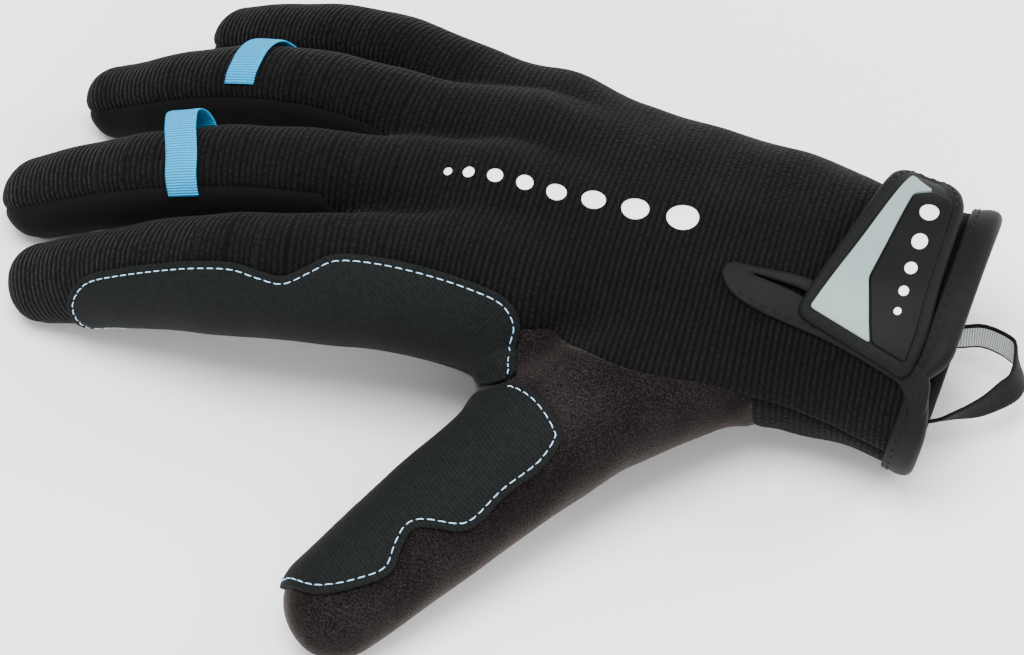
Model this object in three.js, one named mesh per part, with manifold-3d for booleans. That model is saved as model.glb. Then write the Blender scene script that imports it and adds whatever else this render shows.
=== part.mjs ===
// A long-fingered cycling glove for the right hand, lying palm down as it would on a table.
// Millimetres, +Z up. The fingers point along -X, the cuff opens along +X and the thumb lies on the -Y side.
//
// The glove's outside is a field: a distance to the skin, negative inside, built from round-ended cones
// along the bones of a hand. A sheet of points is cast from the bones out to that skin, cut along the seams,
// and every panel, patch and binding is a layer of the sheet between two distances from the skin.
import * as THREE from "three";
import Module from "manifold-3d";

const wasm = await Module();
wasm.setup();

// Driving dimensions
const CLOTH = 1.6; // wall of every sewn panel
const SEAM_GAP = 0.3; // clear space between two pieces that are sewn together
const PATCH = 1.0; // thickness of the grip patches
const BINDING = 0.9; // thickness of the edge binding
const CUFF_BINDING_WIDTH = 5;
const SLIT_BINDING_WIDTH = 3.6;
const STRAP = 1.6; // thickness of the closure strap
const BADGE = 1.1; // thickness of the moulded plate on the strap
const TAPE = { width: 7.2, thick: 0.7 }; // finger pull tapes
const WEBBING = { width: 6.6, thick: 1.1 }; // hang loop
const CUFF = { x: 94.2, y: 24, z: 25, slopeY: 0.05, slopeZ: 0.15 }; // the tilted plane of the cuff's edge
const WRIST_SEAM_X = 56.5; // where the suede ends and the ribbed wrist begins
const HAND_TO_PART = new THREE.Vector3(9.8, -4.147, 0); // puts the origin under the middle of the glove

// Bones. Each row is one joint: its centre x, y, z and the glove's outside radius r there.
const joint = ([x, y, z, r]) => ({ x, y, z, r });
const DIGITS = {
  index: [
    [-8, 1, 34, 15.5],
    [-34, -3, 34.5, 14.3],
    [-60, -5.5, 31, 13.4],
    [-85, -4, 22, 11.3],
    [-110.3, -2.5, 9, 9.3],
  ].map(joint),
  middle: [
    [-10, 22, 37, 13.5],
    [-40, 21.5, 37.3, 11.8],
    [-66, 22, 33, 11.3],
    [-93, 22, 24, 10.7],
    [-120.5, 22.5, 9.4, 9.7],
  ].map(joint),
  ring: [
    [-8, 43, 33.5, 13],
    [-36, 46, 35, 11.3],
    [-62, 51, 32, 10.8],
    [-87, 55, 23, 10.2],
    [-113, 58, 8.8, 9.0],
  ].map(joint),
  little: [
    [-5, 61, 26, 12.5],
    [-30, 67.7, 27.7, 10.4],
    [-52, 76, 25, 9.8],
    [-73, 82, 17.5, 9.2],
    [-91.5, 86.5, 8.3, 8.6],
  ].map(joint),
  thumb: [
    [45, 9, 24, 18],
    [23, -18, 25, 15.5],
    [6, -42, 21, 14],
    [-8, -62, 15.5, 12.9],
    [-17.5, -75, 11.2, 11.6],
  ].map(joint),
};
const FINGER_NAMES = ["index", "middle", "ring", "little"];

// Cones of the palm and wrist, each a pair of joints.
const PALM = [
  [[62, 17, 24, 18.5], [-8, 3, 34, 14.5]],
  [[62, 24, 27, 20.5], [-10, 23, 36, 14]],
  [[62, 36, 26, 20], [-8, 43, 33, 13]],
  [[50, 44.5, 24, 19], [-5, 59, 27, 12.5]],
  [[108, 8, 22.6, 20.4], [62, 17, 24, 18.5]],
  [[108, 34.5, 26.3, 19.6], [62, 34, 26, 20]],
  [[96, 23, 25, 20], [44, 27, 15.5, 18.5]],
].map((pair) => pair.map(joint));

// The cloth between two fingers, and between the thumb and the index finger.
const FINGER_WEBS = [
  [-30, 9.5, 32, 7],
  [-32, 34.5, 34, 7.5],
  [-22, 56.5, 30, 7],
].map(joint);
const THUMB_WEB = [[1, -12, 27, 6], [11, -25, 23.5, 9.5]].map(joint);
const BLEND = { palm: 10, web: 9, finger: 9, thumb: 7, floor: 1 };

// Every digit's joints are joined by a smooth curve before cones are set along it.
const STEPS_PER_BONE = 4;
function smoothChain(joints) {
  const curve = new THREE.CatmullRomCurve3(joints.map((j) => new THREE.Vector3(j.x, j.y, j.z)));
  const radii = new THREE.CatmullRomCurve3(joints.map((j) => new THREE.Vector3(j.r, 0, 0)));
  const count = (joints.length - 1) * STEPS_PER_BONE;
  return Array.from({ length: count + 1 }, (_, i) => {
    const p = curve.getPoint(i / count);
    return { x: p.x, y: p.y, z: p.z, r: radii.getPoint(i / count).x };
  });
}
const CHAINS = Object.fromEntries(Object.entries(DIGITS).map(([name, j]) => [name, smoothChain(j)]));

// The field
function roundCone(p, a, b) {
  const bx = b.x - a.x, by = b.y - a.y, bz = b.z - a.z;
  const px = p.x - a.x, py = p.y - a.y, pz = p.z - a.z;
  const l2 = bx * bx + by * by + bz * bz;
  const rr = a.r - b.r;
  const a2 = l2 - rr * rr;
  const y = px * bx + py * by + pz * bz;
  const z = y - l2;
  const qx = px * l2 - bx * y, qy = py * l2 - by * y, qz = pz * l2 - bz * y;
  const x2 = qx * qx + qy * qy + qz * qz;
  const y2 = y * y * l2, z2 = z * z * l2;
  const k = Math.sign(rr) * rr * rr * x2;
  if (Math.sign(z) * a2 * z2 > k) return Math.sqrt(x2 + z2) / l2 - b.r;
  if (Math.sign(y) * a2 * y2 < k) return Math.sqrt(x2 + y2) / l2 - a.r;
  return (Math.sqrt((x2 * a2) / l2) + y * rr) / l2 - a.r;
}
function smoothMin(a, b, k) {
  const h = Math.max(k - Math.abs(a - b), 0) / k;
  return Math.min(a, b) - (h * h * k) / 4;
}
const smoothMax = (a, b, k) => -smoothMin(-a, -b, k);
const ball = (p, c) => Math.hypot(p.x - c.x, p.y - c.y, p.z - c.z) - c.r;

function field(p) {
  let palm = Infinity;
  for (const [a, b] of PALM) palm = smoothMin(palm, roundCone(p, a, b), BLEND.palm);
  for (const web of FINGER_WEBS) palm = smoothMin(palm, ball(p, web), BLEND.web);
  palm = smoothMin(palm, roundCone(p, ...THUMB_WEB), BLEND.web);
  let skin = Infinity;
  for (const name in CHAINS) {
    const chain = CHAINS[name];
    let digit = Infinity;
    for (let i = 1; i < chain.length; i++) digit = Math.min(digit, roundCone(p, chain[i - 1], chain[i]));
    skin = Math.min(skin, smoothMin(palm, digit, name === "thumb" ? BLEND.thumb : BLEND.finger));
  }
  return smoothMax(skin, -p.z, BLEND.floor);
}
function outward(p) {
  const e = 0.2;
  const slope = (axis) => {
    const a = p.clone(), b = p.clone();
    a[axis] += e;
    b[axis] -= e;
    return field(a) - field(b);
  };
  return new THREE.Vector3(slope("x"), slope("y"), slope("z")).normalize();
}
// Moves a point straight to the surface that lies a given distance outside the skin.
function settle(p, level = 0) {
  const q = p.clone();
  for (let i = 0; i < 5; i++) q.addScaledVector(outward(q), level - field(q));
  return q;
}
// The point where a ray from inside the glove meets the skin.
function cast(from, direction) {
  const d = direction.clone().normalize();
  const p = from.clone();
  for (let i = 0; i < 300 && field(p) < -0.02; i++) p.addScaledVector(d, Math.max(-field(p) * 0.5, 0.1));
  return p;
}

// The sheet: points on the skin and the four-sided cells between them.
const COLUMNS = 4; // cells across the back of one finger
const ACROSS = COLUMNS * FINGER_NAMES.length;
const CORNER = 60; // degrees from the top of a finger to the seam on each side
const WRIST_ROWS = 5; // rows between the cuff and the wrist seam
const PALM_ROWS = 12; // rows between the wrist seam and the fingers
const HOLE = { start: 8, end: 14 }; // rows of the hand between which the thumb opens
const PALM_EDGE = 125; // degrees from the top of the hand to the suede palm's edges
// The bones at the two sides of the hand, and the seam on the thumb side that ends the ribbed back.
const NEAR_BONE = [[108, 9, 22.5], [62, 17, 24], [-8, 3, 34], [-40, 0, 34]];
const FAR_BONE = [[108, 37, 26.5], [62, 40, 25], [-5, 59, 27], [-40, 66, 27]];
const SIDE_SEAM = [
  [100, -9, 15], [70, -10, 21], [56.5, -9, 25.6], [53.2, -9.6, 30.6], [41.8, -14.2, 36.1],
  [29.3, -17.8, 40.6], [15.9, -17.9, 41], [5, -17.5, 38.2],
];
// The slit in the back of the wrist, from the cuff to its blind end: x, y, z.
const SLIT = [[96, 0, 36], [76, 4.5, 42.5], [63, 8, 46], [54, 9.5, 47.5], [46.5, 8.5, 48]];
const SLIT_COLUMN = 4;
const SLIT_ROWS = 6;
const SLIT_HALF = 0.8; // half the slit's open width
const sheet = { points: [], cells: [] };
const addPoint = (p) => sheet.points.push(p) - 1;
const deg = THREE.MathUtils.degToRad;
const { lerp, smoothstep } = THREE.MathUtils;
const vec = (x, y, z) => new THREE.Vector3(x, y, z);
const across = (degrees) => vec(0, Math.sin(deg(degrees)), Math.cos(deg(degrees)));
const centre = (j) => vec(j.x, j.y, j.z);
// Reads a table of [x, y, z] rows, x falling, at one x.
function along(table, x) {
  let i = 1;
  while (i < table.length - 1 && table[i][0] > x) i++;
  const t = (x - table[i - 1][0]) / (table[i][0] - table[i - 1][0]);
  return vec(x, lerp(table[i - 1][1], table[i][1], t), lerp(table[i - 1][2], table[i][2], t));
}

// Where each finger leaves the palm, as a place along its chain, and the point inside each web.
const FINGER_START = { index: 4, middle: 4, ring: 4, little: 4 };
const webTips = FINGER_WEBS.map((w) => cast(centre(w), vec(-1, 0, 0)));

function crotchColumn(j) {
  const web = j / COLUMNS;
  if (Number.isInteger(web) && web > 0 && web < FINGER_NAMES.length)
    return { bone: webTips[web - 1].clone().add(vec(3, 0, 0)), angle: 0 };
  const finger = Math.min(Math.floor(web), FINGER_NAMES.length - 1);
  const local = j - finger * COLUMNS;
  return {
    bone: centre(CHAINS[FINGER_NAMES[finger]][FINGER_START[FINGER_NAMES[finger]]]),
    angle: CORNER * ((2 * local) / COLUMNS - 1),
  };
}
const cuffX = (y, z) => CUFF.x + CUFF.slopeY * (y - CUFF.y) + CUFF.slopeZ * (z - CUFF.z);
const rowCount = WRIST_ROWS + PALM_ROWS;
// The bone and the angle of one column on one row; the angle is measured from straight up.
function palmColumn(j, row) {
  const share = j / ACROSS;
  const end = crotchColumn(j);
  const w = Math.max(row - WRIST_ROWS, 0) / PALM_ROWS;
  let x = lerp(WRIST_SEAM_X, end.bone.x, w);
  if (row < WRIST_ROWS) {
    const atCuff = along(NEAR_BONE, CUFF.x).lerp(along(FAR_BONE, CUFF.x), share);
    x = lerp(cuffX(atCuff.y, atCuff.z), WRIST_SEAM_X, row / WRIST_ROWS);
  }
  const near = along(NEAR_BONE, x);
  const bone = near.clone().lerp(along(FAR_BONE, x), share);
  bone.z += 3 * Math.sin(Math.PI * share);
  const seam = along(SIDE_SEAM, Math.max(x, 5));
  const nearAngle = THREE.MathUtils.radToDeg(Math.atan2(seam.y - near.y, seam.z - near.z));
  const angle = lerp(nearAngle, CORNER, share);
  const blend = smoothstep(w, 0.35, 1);
  return {
    bone: vec(x, lerp(bone.y, end.bone.y, blend), lerp(bone.z, end.bone.z, blend)),
    angle: lerp(angle, end.angle, blend),
  };
}
// A direction in a row's own plane, which leans with the cuff's edge on the rows near it.
function inRow(row, degrees) {
  const direction = across(degrees);
  const lean = Math.max(1 - row / WRIST_ROWS, 0);
  direction.x = lean * (CUFF.slopeY * direction.y + CUFF.slopeZ * direction.z);
  return direction;
}
// One ring round the palm: back columns, the little-finger side, palm columns, the thumb side.
function palmRing(row) {
  const inHole = row > HOLE.start && row < HOLE.end;
  const back = [], front = [];
  for (let j = 0; j <= ACROSS; j++) {
    const { bone, angle } = palmColumn(j, row);
    const frontAngle = 180 - PALM_EDGE;
    const spread = lerp(-frontAngle, frontAngle, j / ACROSS);
    const end = crotchColumn(j);
    const blend = smoothstep(Math.max(row - WRIST_ROWS, 0) / PALM_ROWS, 0.35, 1);
    back.push(addPoint(cast(bone, inRow(row, angle))));
    front.unshift(addPoint(cast(bone, inRow(row, 180 - lerp(spread, end.angle, blend)))));
  }
  const first = palmColumn(0, row), last = palmColumn(ACROSS, row);
  const far = addPoint(cast(last.bone, inRow(row, (last.angle + PALM_EDGE) / 2)));
  const near = inHole ? null : addPoint(cast(first.bone, inRow(row, (first.angle - PALM_EDGE) / 2)));
  return [...back, far, ...front, near];
}
const RING = 2 * (ACROSS + 1) + 2;
const NEAR = RING - 1, FAR = ACROSS + 1;
const rows = Array.from({ length: rowCount + 1 }, (_, row) => palmRing(row));
function palmZone(j) {
  if (j < ACROSS) return "back";
  if (j === ACROSS) return "far_upper";
  if (j === FAR) return "far_lower";
  if (j < NEAR - 1) return "front";
  return j === NEAR - 1 ? "near_lower" : "near_upper";
}
for (let row = 0; row < rowCount; row++)
  for (let j = 0; j < RING; j++) {
    const zone = palmZone(j);
    if (zone.startsWith("near") && row >= HOLE.start && row < HOLE.end) continue;
    const next = (j + 1) % RING;
    const v = [rows[row][j], rows[row][next], rows[row + 1][next], rows[row + 1][j]];
    sheet.cells.push({ v, zone, digit: null, row, column: j });
  }
// Evens out the palm's rows and columns; the seams stay where they are.
const SMOOTHING = 8;
const fixedColumns = new Set([0, ACROSS, FAR, FAR + 1, NEAR - 1, NEAR]);
const inSlit = (row, j) => j === SLIT_COLUMN && row <= SLIT_ROWS;
for (let row = 0; row <= SLIT_ROWS; row++) {
  const x = lerp(cuffX(SLIT[0][1], SLIT[0][2]), SLIT[SLIT.length - 1][0], row / SLIT_ROWS);
  sheet.points[rows[row][SLIT_COLUMN]] = settle(along(SLIT, x));
}
for (let pass = 0; pass < SMOOTHING; pass++)
  for (let row = 1; row < rowCount; row++)
    for (let j = 0; j < RING; j++) {
      if (fixedColumns.has(j) || inSlit(row, j) || rows[row][j] === null) continue;
      const at = (r, c) => sheet.points[rows[r][(c + RING) % RING]];
      const mean = at(row - 1, j).clone().add(at(row + 1, j)).add(at(row, j - 1)).add(at(row, j + 1));
      const moved = mean.multiplyScalar(0.25).lerp(at(row, j), 0.4);
      if (row === WRIST_ROWS) moved.x = WRIST_SEAM_X;
      sheet.points[rows[row][j]] = settle(moved);
    }

// A digit is a tube of rings that starts from an existing ring and closes at the tip.
function joinRings(last, ring, zones, digit) {
  ring.forEach((_, m) => {
    const next = (m + 1) % ring.length;
    sheet.cells.push({ v: [last[m], last[next], ring[next], ring[m]], zone: zones[m], digit });
  });
}
function directionIn(frame, degrees) {
  const side = frame.side.clone().multiplyScalar(Math.sin(deg(degrees)));
  const up = frame.up.clone().multiplyScalar(Math.cos(deg(degrees)));
  return side.add(up).add(frame.ahead.clone().multiplyScalar(Math.tan(deg(frame.lean))));
}
// Where the skin lies in one direction from a frame; the ray stops short of the next digit.
const REACH = 17;
function reach(frame, degrees) {
  const direction = directionIn(frame, degrees).normalize();
  const p = cast(frame.centre, direction);
  if (p.distanceTo(frame.centre) <= REACH) return p;
  return settle(frame.centre.clone().addScaledVector(direction, REACH));
}
function addDigit(digit, firstRing, degrees, frames, zones) {
  let last = firstRing;
  for (const frame of frames) {
    const ring = degrees.map((d) => addPoint(reach(frame, d)));
    joinRings(last, ring, zones, digit);
    last = ring;
  }
  const end = frames[frames.length - 1];
  const tip = addPoint(cast(end.centre, end.ahead));
  last.forEach((_, m) => {
    sheet.cells.push({ v: [last[m], last[(m + 1) % last.length], tip], zone: zones[m], digit });
  });
}
// Frames along a chain: centre, the way ahead, the top and the side that faces the little finger.
function framesAlong(chain, first, pitch) {
  const curve = new THREE.CatmullRomCurve3(chain.slice(first).map(centre));
  const count = Math.round(curve.getLength() / pitch);
  const frames = [];
  for (let i = 1; i <= count; i++) {
    const ahead = curve.getTangentAt(i / count);
    const side = ahead.clone().cross(vec(0, 0, 1)).normalize();
    frames.push({ centre: curve.getPointAt(i / count), ahead, side, up: side.clone().cross(ahead), lean: 0 });
  }
  const tip = frames[frames.length - 1];
  frames.push({ ...tip, lean: 28 }, { ...tip, lean: 58 });
  return frames;
}

// Fingers
const FINGER_DEGREES = [-60, -30, 0, 30, 60, 95, 130, 155, 180, 205, 230, 265];
const FINGER_ZONES = [
  "back", "back", "back", "back", "far_upper", "far_lower",
  "front", "front", "front", "front", "near_lower", "near_upper",
];
const crotch = rows[rowCount];
const webPoints = [crotch[NEAR], ...webTips.map(addPoint), crotch[FAR]];
FINGER_NAMES.forEach((name, i) => {
  const from = COLUMNS * i;
  const top = [0, 1, 2, 3, 4].map((m) => crotch[from + m]);
  const bottom = [4, 3, 2, 1, 0].map((m) => crotch[FAR + 1 + ACROSS - from - m]);
  const first = [...top, webPoints[i + 1], ...bottom, webPoints[i]];
  addDigit(name, first, FINGER_DEGREES, framesAlong(CHAINS[name], FINGER_START[name], 7.4), FINGER_ZONES);
});

// Thumb: the ring round the hole, rings that turn towards the thumb, then its own rings.
const THUMB_START = 7;
const BASE_RINGS = 5;
const hole = [rows[HOLE.start][NEAR]];
for (let row = HOLE.start; row <= HOLE.end; row++) hole.push(rows[row][0]);
hole.push(rows[HOLE.end][NEAR]);
for (let row = HOLE.end; row >= HOLE.start; row--) hole.push(rows[row][NEAR - 1]);
const thumbFrames = framesAlong(CHAINS.thumb, THUMB_START, 7);
const thumbDegrees = hole.map((_, m) => (360 / hole.length) * m - 90);
const thumbZones = hole.map(() => "thumb");
let base = hole;
for (let i = 1; i < BASE_RINGS; i++) {
  const ring = hole.map((v, m) => {
    const goal = reach(thumbFrames[0], thumbDegrees[m]);
    return addPoint(settle(sheet.points[v].clone().lerp(goal, i / BASE_RINGS)));
  });
  joinRings(base, ring, thumbZones, "thumb");
  base = ring;
}
addDigit("thumb", base, thumbDegrees, thumbFrames, thumbZones);

// Pieces. A piece is a set of cells, cut where it must be, between two distances from the skin.
const normals = sheet.points.map(outward);
const onSheet = (index) => ({ key: String(index), p: sheet.points[index], n: normals[index], cut: false });
const slitVertex = new Map();
for (let row = 0; row < SLIT_ROWS; row++) slitVertex.set(rows[row][SLIT_COLUMN], row);
// The two lips of the slit are the same line of points moved apart.
function lip(index, sign) {
  const v = onSheet(index);
  const row = slitVertex.get(index);
  const tangent = sheet.points[rows[row + 1][SLIT_COLUMN]].clone().sub(v.p);
  const sideways = v.n.clone().cross(tangent).normalize().multiplyScalar(sign * SLIT_HALF);
  return { key: `${index}${sign > 0 ? "f" : "n"}`, p: v.p.clone().add(sideways), n: v.n, cut: true };
}
function polygonsOf(cells, slit) {
  return cells.flatMap((cell) => {
    const far = cell.digit === null && cell.column === SLIT_COLUMN;
    const v = cell.v.map((i) => (slit && slitVertex.has(i) ? lip(i, far ? -1 : 1) : onSheet(i)));
    if (v.length === 3) return [v];
    const shortOne = v[0].p.distanceTo(v[2].p) <= v[1].p.distanceTo(v[3].p);
    return shortOne ? [[v[0], v[1], v[2]], [v[0], v[2], v[3]]] : [[v[0], v[1], v[3]], [v[1], v[2], v[3]]];
  });
}
// Cuts every triangle into four flat ones, so that an outline on it is followed more closely.
function subdivide(polygons) {
  const middle = (a, b) => ({
    key: [a.key, b.key].sort().join("m"), p: a.p.clone().lerp(b.p, 0.5),
    n: a.n.clone().lerp(b.n, 0.5).normalize(), cut: a.cut && b.cut,
  });
  return polygons.flatMap(([a, b, c]) => {
    const ab = middle(a, b), bc = middle(b, c), ca = middle(c, a);
    return [[a, ab, ca], [ab, b, bc], [ca, bc, c], [ab, bc, ca]];
  });
}
// Keeps the side of every polygon where a measure is above zero.
function clip(polygons, name, measure) {
  const known = new Map();
  const value = (v) => {
    if (!known.has(v.key)) known.set(v.key, measure(v.p, v.n));
    return known.get(v.key);
  };
  const meet = (a, b) => {
    const [first, second] = a.key < b.key ? [a, b] : [b, a];
    const t = value(first) / (value(first) - value(second));
    return {
      key: `${first.key}|${second.key}|${name}`, p: first.p.clone().lerp(second.p, t),
      n: first.n.clone().lerp(second.n, t).normalize(), cut: true,
    };
  };
  return polygons.map((polygon) => polygon.flatMap((a, i) => {
    const b = polygon[(i + 1) % polygon.length];
    const out = value(a) > 0 ? [a] : [];
    if (value(a) > 0 !== value(b) > 0) out.push(meet(a, b));
    return out;
  })).filter((polygon) => polygon.length > 2);
}
// The distance on the skin to a closed line, positive inside the line as it is seen from one direction.
function inside(outline, facing) {
  const points = outline.map(([x, y, z]) => settle(vec(x, y, z)));
  const toward = vec(...facing).normalize();
  const right = vec(0, 0, 1).cross(toward).normalize();
  const flat = toward.z > 0.99 ? (p) => [p.x, p.y] : (p) => [p.dot(right), p.dot(toward.clone().cross(right))];
  const shape = points.map(flat);
  return (p, n) => {
    const [u, v] = flat(p);
    let within = false;
    shape.forEach(([bu, bv], i) => {
      const [au, av] = shape[(i + shape.length - 1) % shape.length];
      if (bv > v !== av > v && u < ((au - bu) * (v - bv)) / (av - bv) + bu) within = !within;
    });
    const distances = points.map((a, i) => {
      const edge = points[(i + 1) % points.length].clone().sub(a);
      const t = THREE.MathUtils.clamp(p.clone().sub(a).dot(edge) / edge.lengthSq(), 0, 1);
      const away = p.clone().sub(a.clone().addScaledVector(edge, t));
      return away.addScaledVector(n, -away.dot(n)).length();
    });
    return (within ? 1 : -1) * Math.min(...distances);
  };
}
// The distance to an open line.
function distanceTo(line) {
  const points = line.map(([x, y, z]) => vec(x, y, z));
  return (p) => Math.min(...points.slice(1).map((b, i) => {
    const edge = b.clone().sub(points[i]);
    const t = THREE.MathUtils.clamp(p.clone().sub(points[i]).dot(edge) / edge.lengthSq(), 0, 1);
    return p.distanceTo(points[i].clone().addScaledVector(edge, t));
  }));
}
const fromCuff = (p) => cuffX(p.y, p.z) - p.x;

// Moves a piece's edge inwards over the sheet, except where a cut has already placed it.
function inset(polygons, amount) {
  const edges = new Map();
  for (const polygon of polygons)
    polygon.forEach((a, i) => {
      const b = polygon[(i + 1) % polygon.length];
      edges.set(`${a.key}>${b.key}`, { a, b });
    });
  const pulls = new Map();
  for (const { a, b } of edges.values()) {
    if (edges.has(`${b.key}>${a.key}`) || (a.cut && b.cut) || isCuffEdge(a, b)) continue;
    for (const v of [a, b]) {
      const pull = v.n.clone().cross(b.p.clone().sub(a.p)).normalize();
      pulls.set(v.key, [...(pulls.get(v.key) ?? []), pull]);
    }
  }
  const moved = new Map();
  const move = (v) => {
    const pull = pulls.get(v.key);
    if (!pull || v.cut) return v;
    if (!moved.has(v.key)) {
      const sum = pull.reduce((total, d) => total.add(d), vec(0, 0, 0));
      const miter = pull.length < 2 ? 1 : 1 / Math.max(1 + pull[0].dot(pull[1]), 0.35);
      moved.set(v.key, { ...v, p: v.p.clone().addScaledVector(sum, amount * miter) });
    }
    return moved.get(v.key);
  };
  return polygons.map((polygon) => polygon.map(move));
}
const cuffKeys = new Set(rows[0].map(String));
const isCuffEdge = (a, b) => [a, b].every((v) => cuffKeys.has(v.key) || cuffKeys.has(v.key.slice(0, -1)));
function meshOf(name, positions, triangles) {
  const geometry = new THREE.BufferGeometry();
  geometry.setAttribute("position", new THREE.Float32BufferAttribute(positions.flatMap((p) => p.toArray()), 3));
  geometry.setIndex(triangles.flat());
  const mesh = new THREE.Mesh(geometry);
  mesh.name = name;
  return mesh;
}
// Makes a closed wall between two distances from the skin.
function layer(name, polygons, inner, outer) {
  const index = new Map(), positions = [], triangles = [];
  for (const v of polygons.flat())
    if (!index.has(v.key)) {
      index.set(v.key, positions.length);
      positions.push(v.p.clone().addScaledVector(v.n, outer), v.p.clone().addScaledVector(v.n, inner));
    }
  const top = (v) => index.get(v.key), under = (v) => index.get(v.key) + 1;
  const edges = new Set();
  for (const polygon of polygons)
    polygon.forEach((a, i) => edges.add(`${a.key}>${polygon[(i + 1) % polygon.length].key}`));
  for (const polygon of polygons) {
    for (let i = 2; i < polygon.length; i++) {
      const [a, b, c] = [polygon[0], polygon[i - 1], polygon[i]];
      triangles.push([top(a), top(b), top(c)], [under(a), under(c), under(b)]);
    }
    polygon.forEach((a, i) => {
      const b = polygon[(i + 1) % polygon.length];
      if (edges.has(`${b.key}>${a.key}`)) return;
      if (a.key < b.key) triangles.push([top(b), top(a), under(a)], [top(b), under(a), under(b)]);
      else triangles.push([top(b), top(a), under(b)], [top(a), under(a), under(b)]);
    });
  }
  return meshOf(name, positions, triangles);
}

// Sewn panels
const pick = (test, slit = true) => polygonsOf(sheet.cells.filter(test), slit);
const isFar = (cell) => cell.zone.startsWith("far"), isNear = (cell) => cell.zone.startsWith("near");
const panel = (name, test) => layer(name, inset(pick(test), SEAM_GAP / 2), -CLOTH, 0);
const backCells = (cell) =>
  cell.zone === "back" ||
  (isFar(cell) && (cell.digit === null || cell.digit === "little")) ||
  (isNear(cell) && (cell.digit === "index" || (cell.digit === null && cell.row >= HOLE.end)));
const pieces = [
  panel("back_panel", backCells),
  panel("palm_panel", (cell) => cell.zone === "front" && !(cell.digit === null && cell.row < WRIST_ROWS)),
  panel("thumb_panel", (cell) =>
    cell.zone === "thumb" ||
    (isNear(cell) && cell.digit === null && cell.row >= WRIST_ROWS && cell.row < HOLE.start)),
  panel("wrist_panel", (cell) =>
    (isNear(cell) || cell.zone === "front") && cell.digit === null && cell.row < WRIST_ROWS),
];
for (let i = 1; i < FINGER_NAMES.length; i++) {
  const [a, b] = [FINGER_NAMES[i - 1], FINGER_NAMES[i]];
  const between = (cell) => (isFar(cell) && cell.digit === a) || (isNear(cell) && cell.digit === b);
  pieces.push(panel(`fourchette_${a}_${b}`, between));
}

// Layers on the panels: grip patches, bindings, the closure strap and its plates.
const LEVEL = { low: SEAM_GAP, strap: SEAM_GAP * 2 + BINDING, plate: SEAM_GAP * 3 + BINDING + STRAP };
const INDEX_PATCH = [
  [-98, -8.5, 10], [-80, -11, 15], [-60, -12.8, 19.8], [-35, -12, 23], [-20, -12, 24], [-11, -15, 24],
  [-5, -19.3, 27.4], [-1.6, -22.6, 31], [2.2, -24.6, 34.9], [6.2, -23.7, 37.4], [7, -21.8, 36.6],
  [5.7, -17.6, 35.6], [5.4, -14.3, 36.8], [5.4, -12.1, 39.3], [4.3, -10.8, 42.2], [1.2, -9.6, 45.2],
  [-6.7, -8.6, 46.9], [-22.9, -7.8, 47.4], [-37.6, -9.6, 47.4], [-43, -12.6, 45.2], [-47.9, -14.4, 42.6],
  [-53, -14.4, 42.6], [-60.3, -13.4, 42.2], [-87.4, -11.8, 30.6], [-96.5, -11, 24], [-100, -12, 18],
];
const THUMB_PATCH = [
  [-26.5, -78.5, 18.4], [-19.2, -80.4, 20.6], [-11, -76.9, 22.3], [-5.8, -72.8, 23.8], [-4.6, -67.1, 27],
  [-3.2, -63.9, 28.5], [6.9, -59.4, 26.7], [13.7, -50.8, 30.4], [19.2, -41.9, 32.2], [22, -36.8, 36.2],
  [20.5, -34.8, 37.9], [18.2, -32.7, 39.1], [14.9, -30.1, 39.6], [11.4, -27.9, 39.2], [7.4, -26, 37.6],
  [2.3, -26.8, 33.7], [-1, -25.8, 30.4], [-7, -32, 24], [-12, -42, 19], [-17, -54, 16], [-24, -66, 14.5],
  [-29, -76, 14],
];
const STRAP_OUTLINE = [
  [62.3, 3.6, 45], [89.4, -3, 38], [91.8, 4, 41], [92.4, 38, 47], [90.8, 43.5, 46], [86.5, 51.8, 42],
  [78, 54, 42], [74, 46, 46],
];
const INLAY_OUTLINE = [
  [65.8, 4.7, 46], [79.8, 1.6, 43], [76.1, 15.4, 46], [80, 41.1, 47], [83.9, 44.3, 46], [77.8, 49.3, 44],
];
const PLATE_OUTLINE = [
  [80.8, 1.6, 43], [88.6, -0.4, 40], [89.8, 37.1, 47], [88.9, 40.2, 47], [84.9, 43.4, 46], [80.9, 40.6, 47],
  [76.9, 15.4, 46],
];
const FACING = { index: [0.05, -1, 0.2], thumb: [-0.35, 0, 0.94], wrist: [0, 0, 1] };
// A layer on the cells that face one way and lie inside an outline.
function overlay(name, test, outline, facing, low, thick, fine = false) {
  const toward = vec(...facing).normalize();
  const seen = pick(test, false).filter((polygon) => polygon.every((v) => v.n.dot(toward) > -0.1));
  const polygons = clip(fine ? subdivide(seen) : seen, "o", inside(outline, facing));
  return layer(name, polygons, low, low + thick);
}
const nearThumb = (cell) => cell.v.every((i) => sheet.points[i].y < -14);
const onIndexSide = (cell) =>
  (cell.digit === "index" && !isFar(cell)) ||
  (cell.digit === null && cell.row > 8 && cell.column !== ACROSS && (cell.column < 4 || isNear(cell)));
const onIndexPatch = (cell) =>
  onIndexSide(cell) || (cell.digit === "thumb" && cell.v.every((i) => sheet.points[i].y > -36));
const onThumbPatch = (cell) => cell.digit === "thumb" || (onIndexSide(cell) && nearThumb(cell));
const onWrist = (cell) => cell.digit === null && cell.row < 8 && cell.zone !== "front" && !isNear(cell);
const besideSlit = (cell) => onWrist(cell) && Math.abs(cell.column + 0.5 - SLIT_COLUMN) < 3;
const onCuff = (cell) => cell.digit === null && cell.row < 2;
const slitBand = clip(
  clip(subdivide(pick(besideSlit)), "c", (p) => fromCuff(p) - CUFF_BINDING_WIDTH - SEAM_GAP),
  "s", (p) => SLIT_BINDING_WIDTH - distanceTo(SLIT)(p),
);
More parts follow.
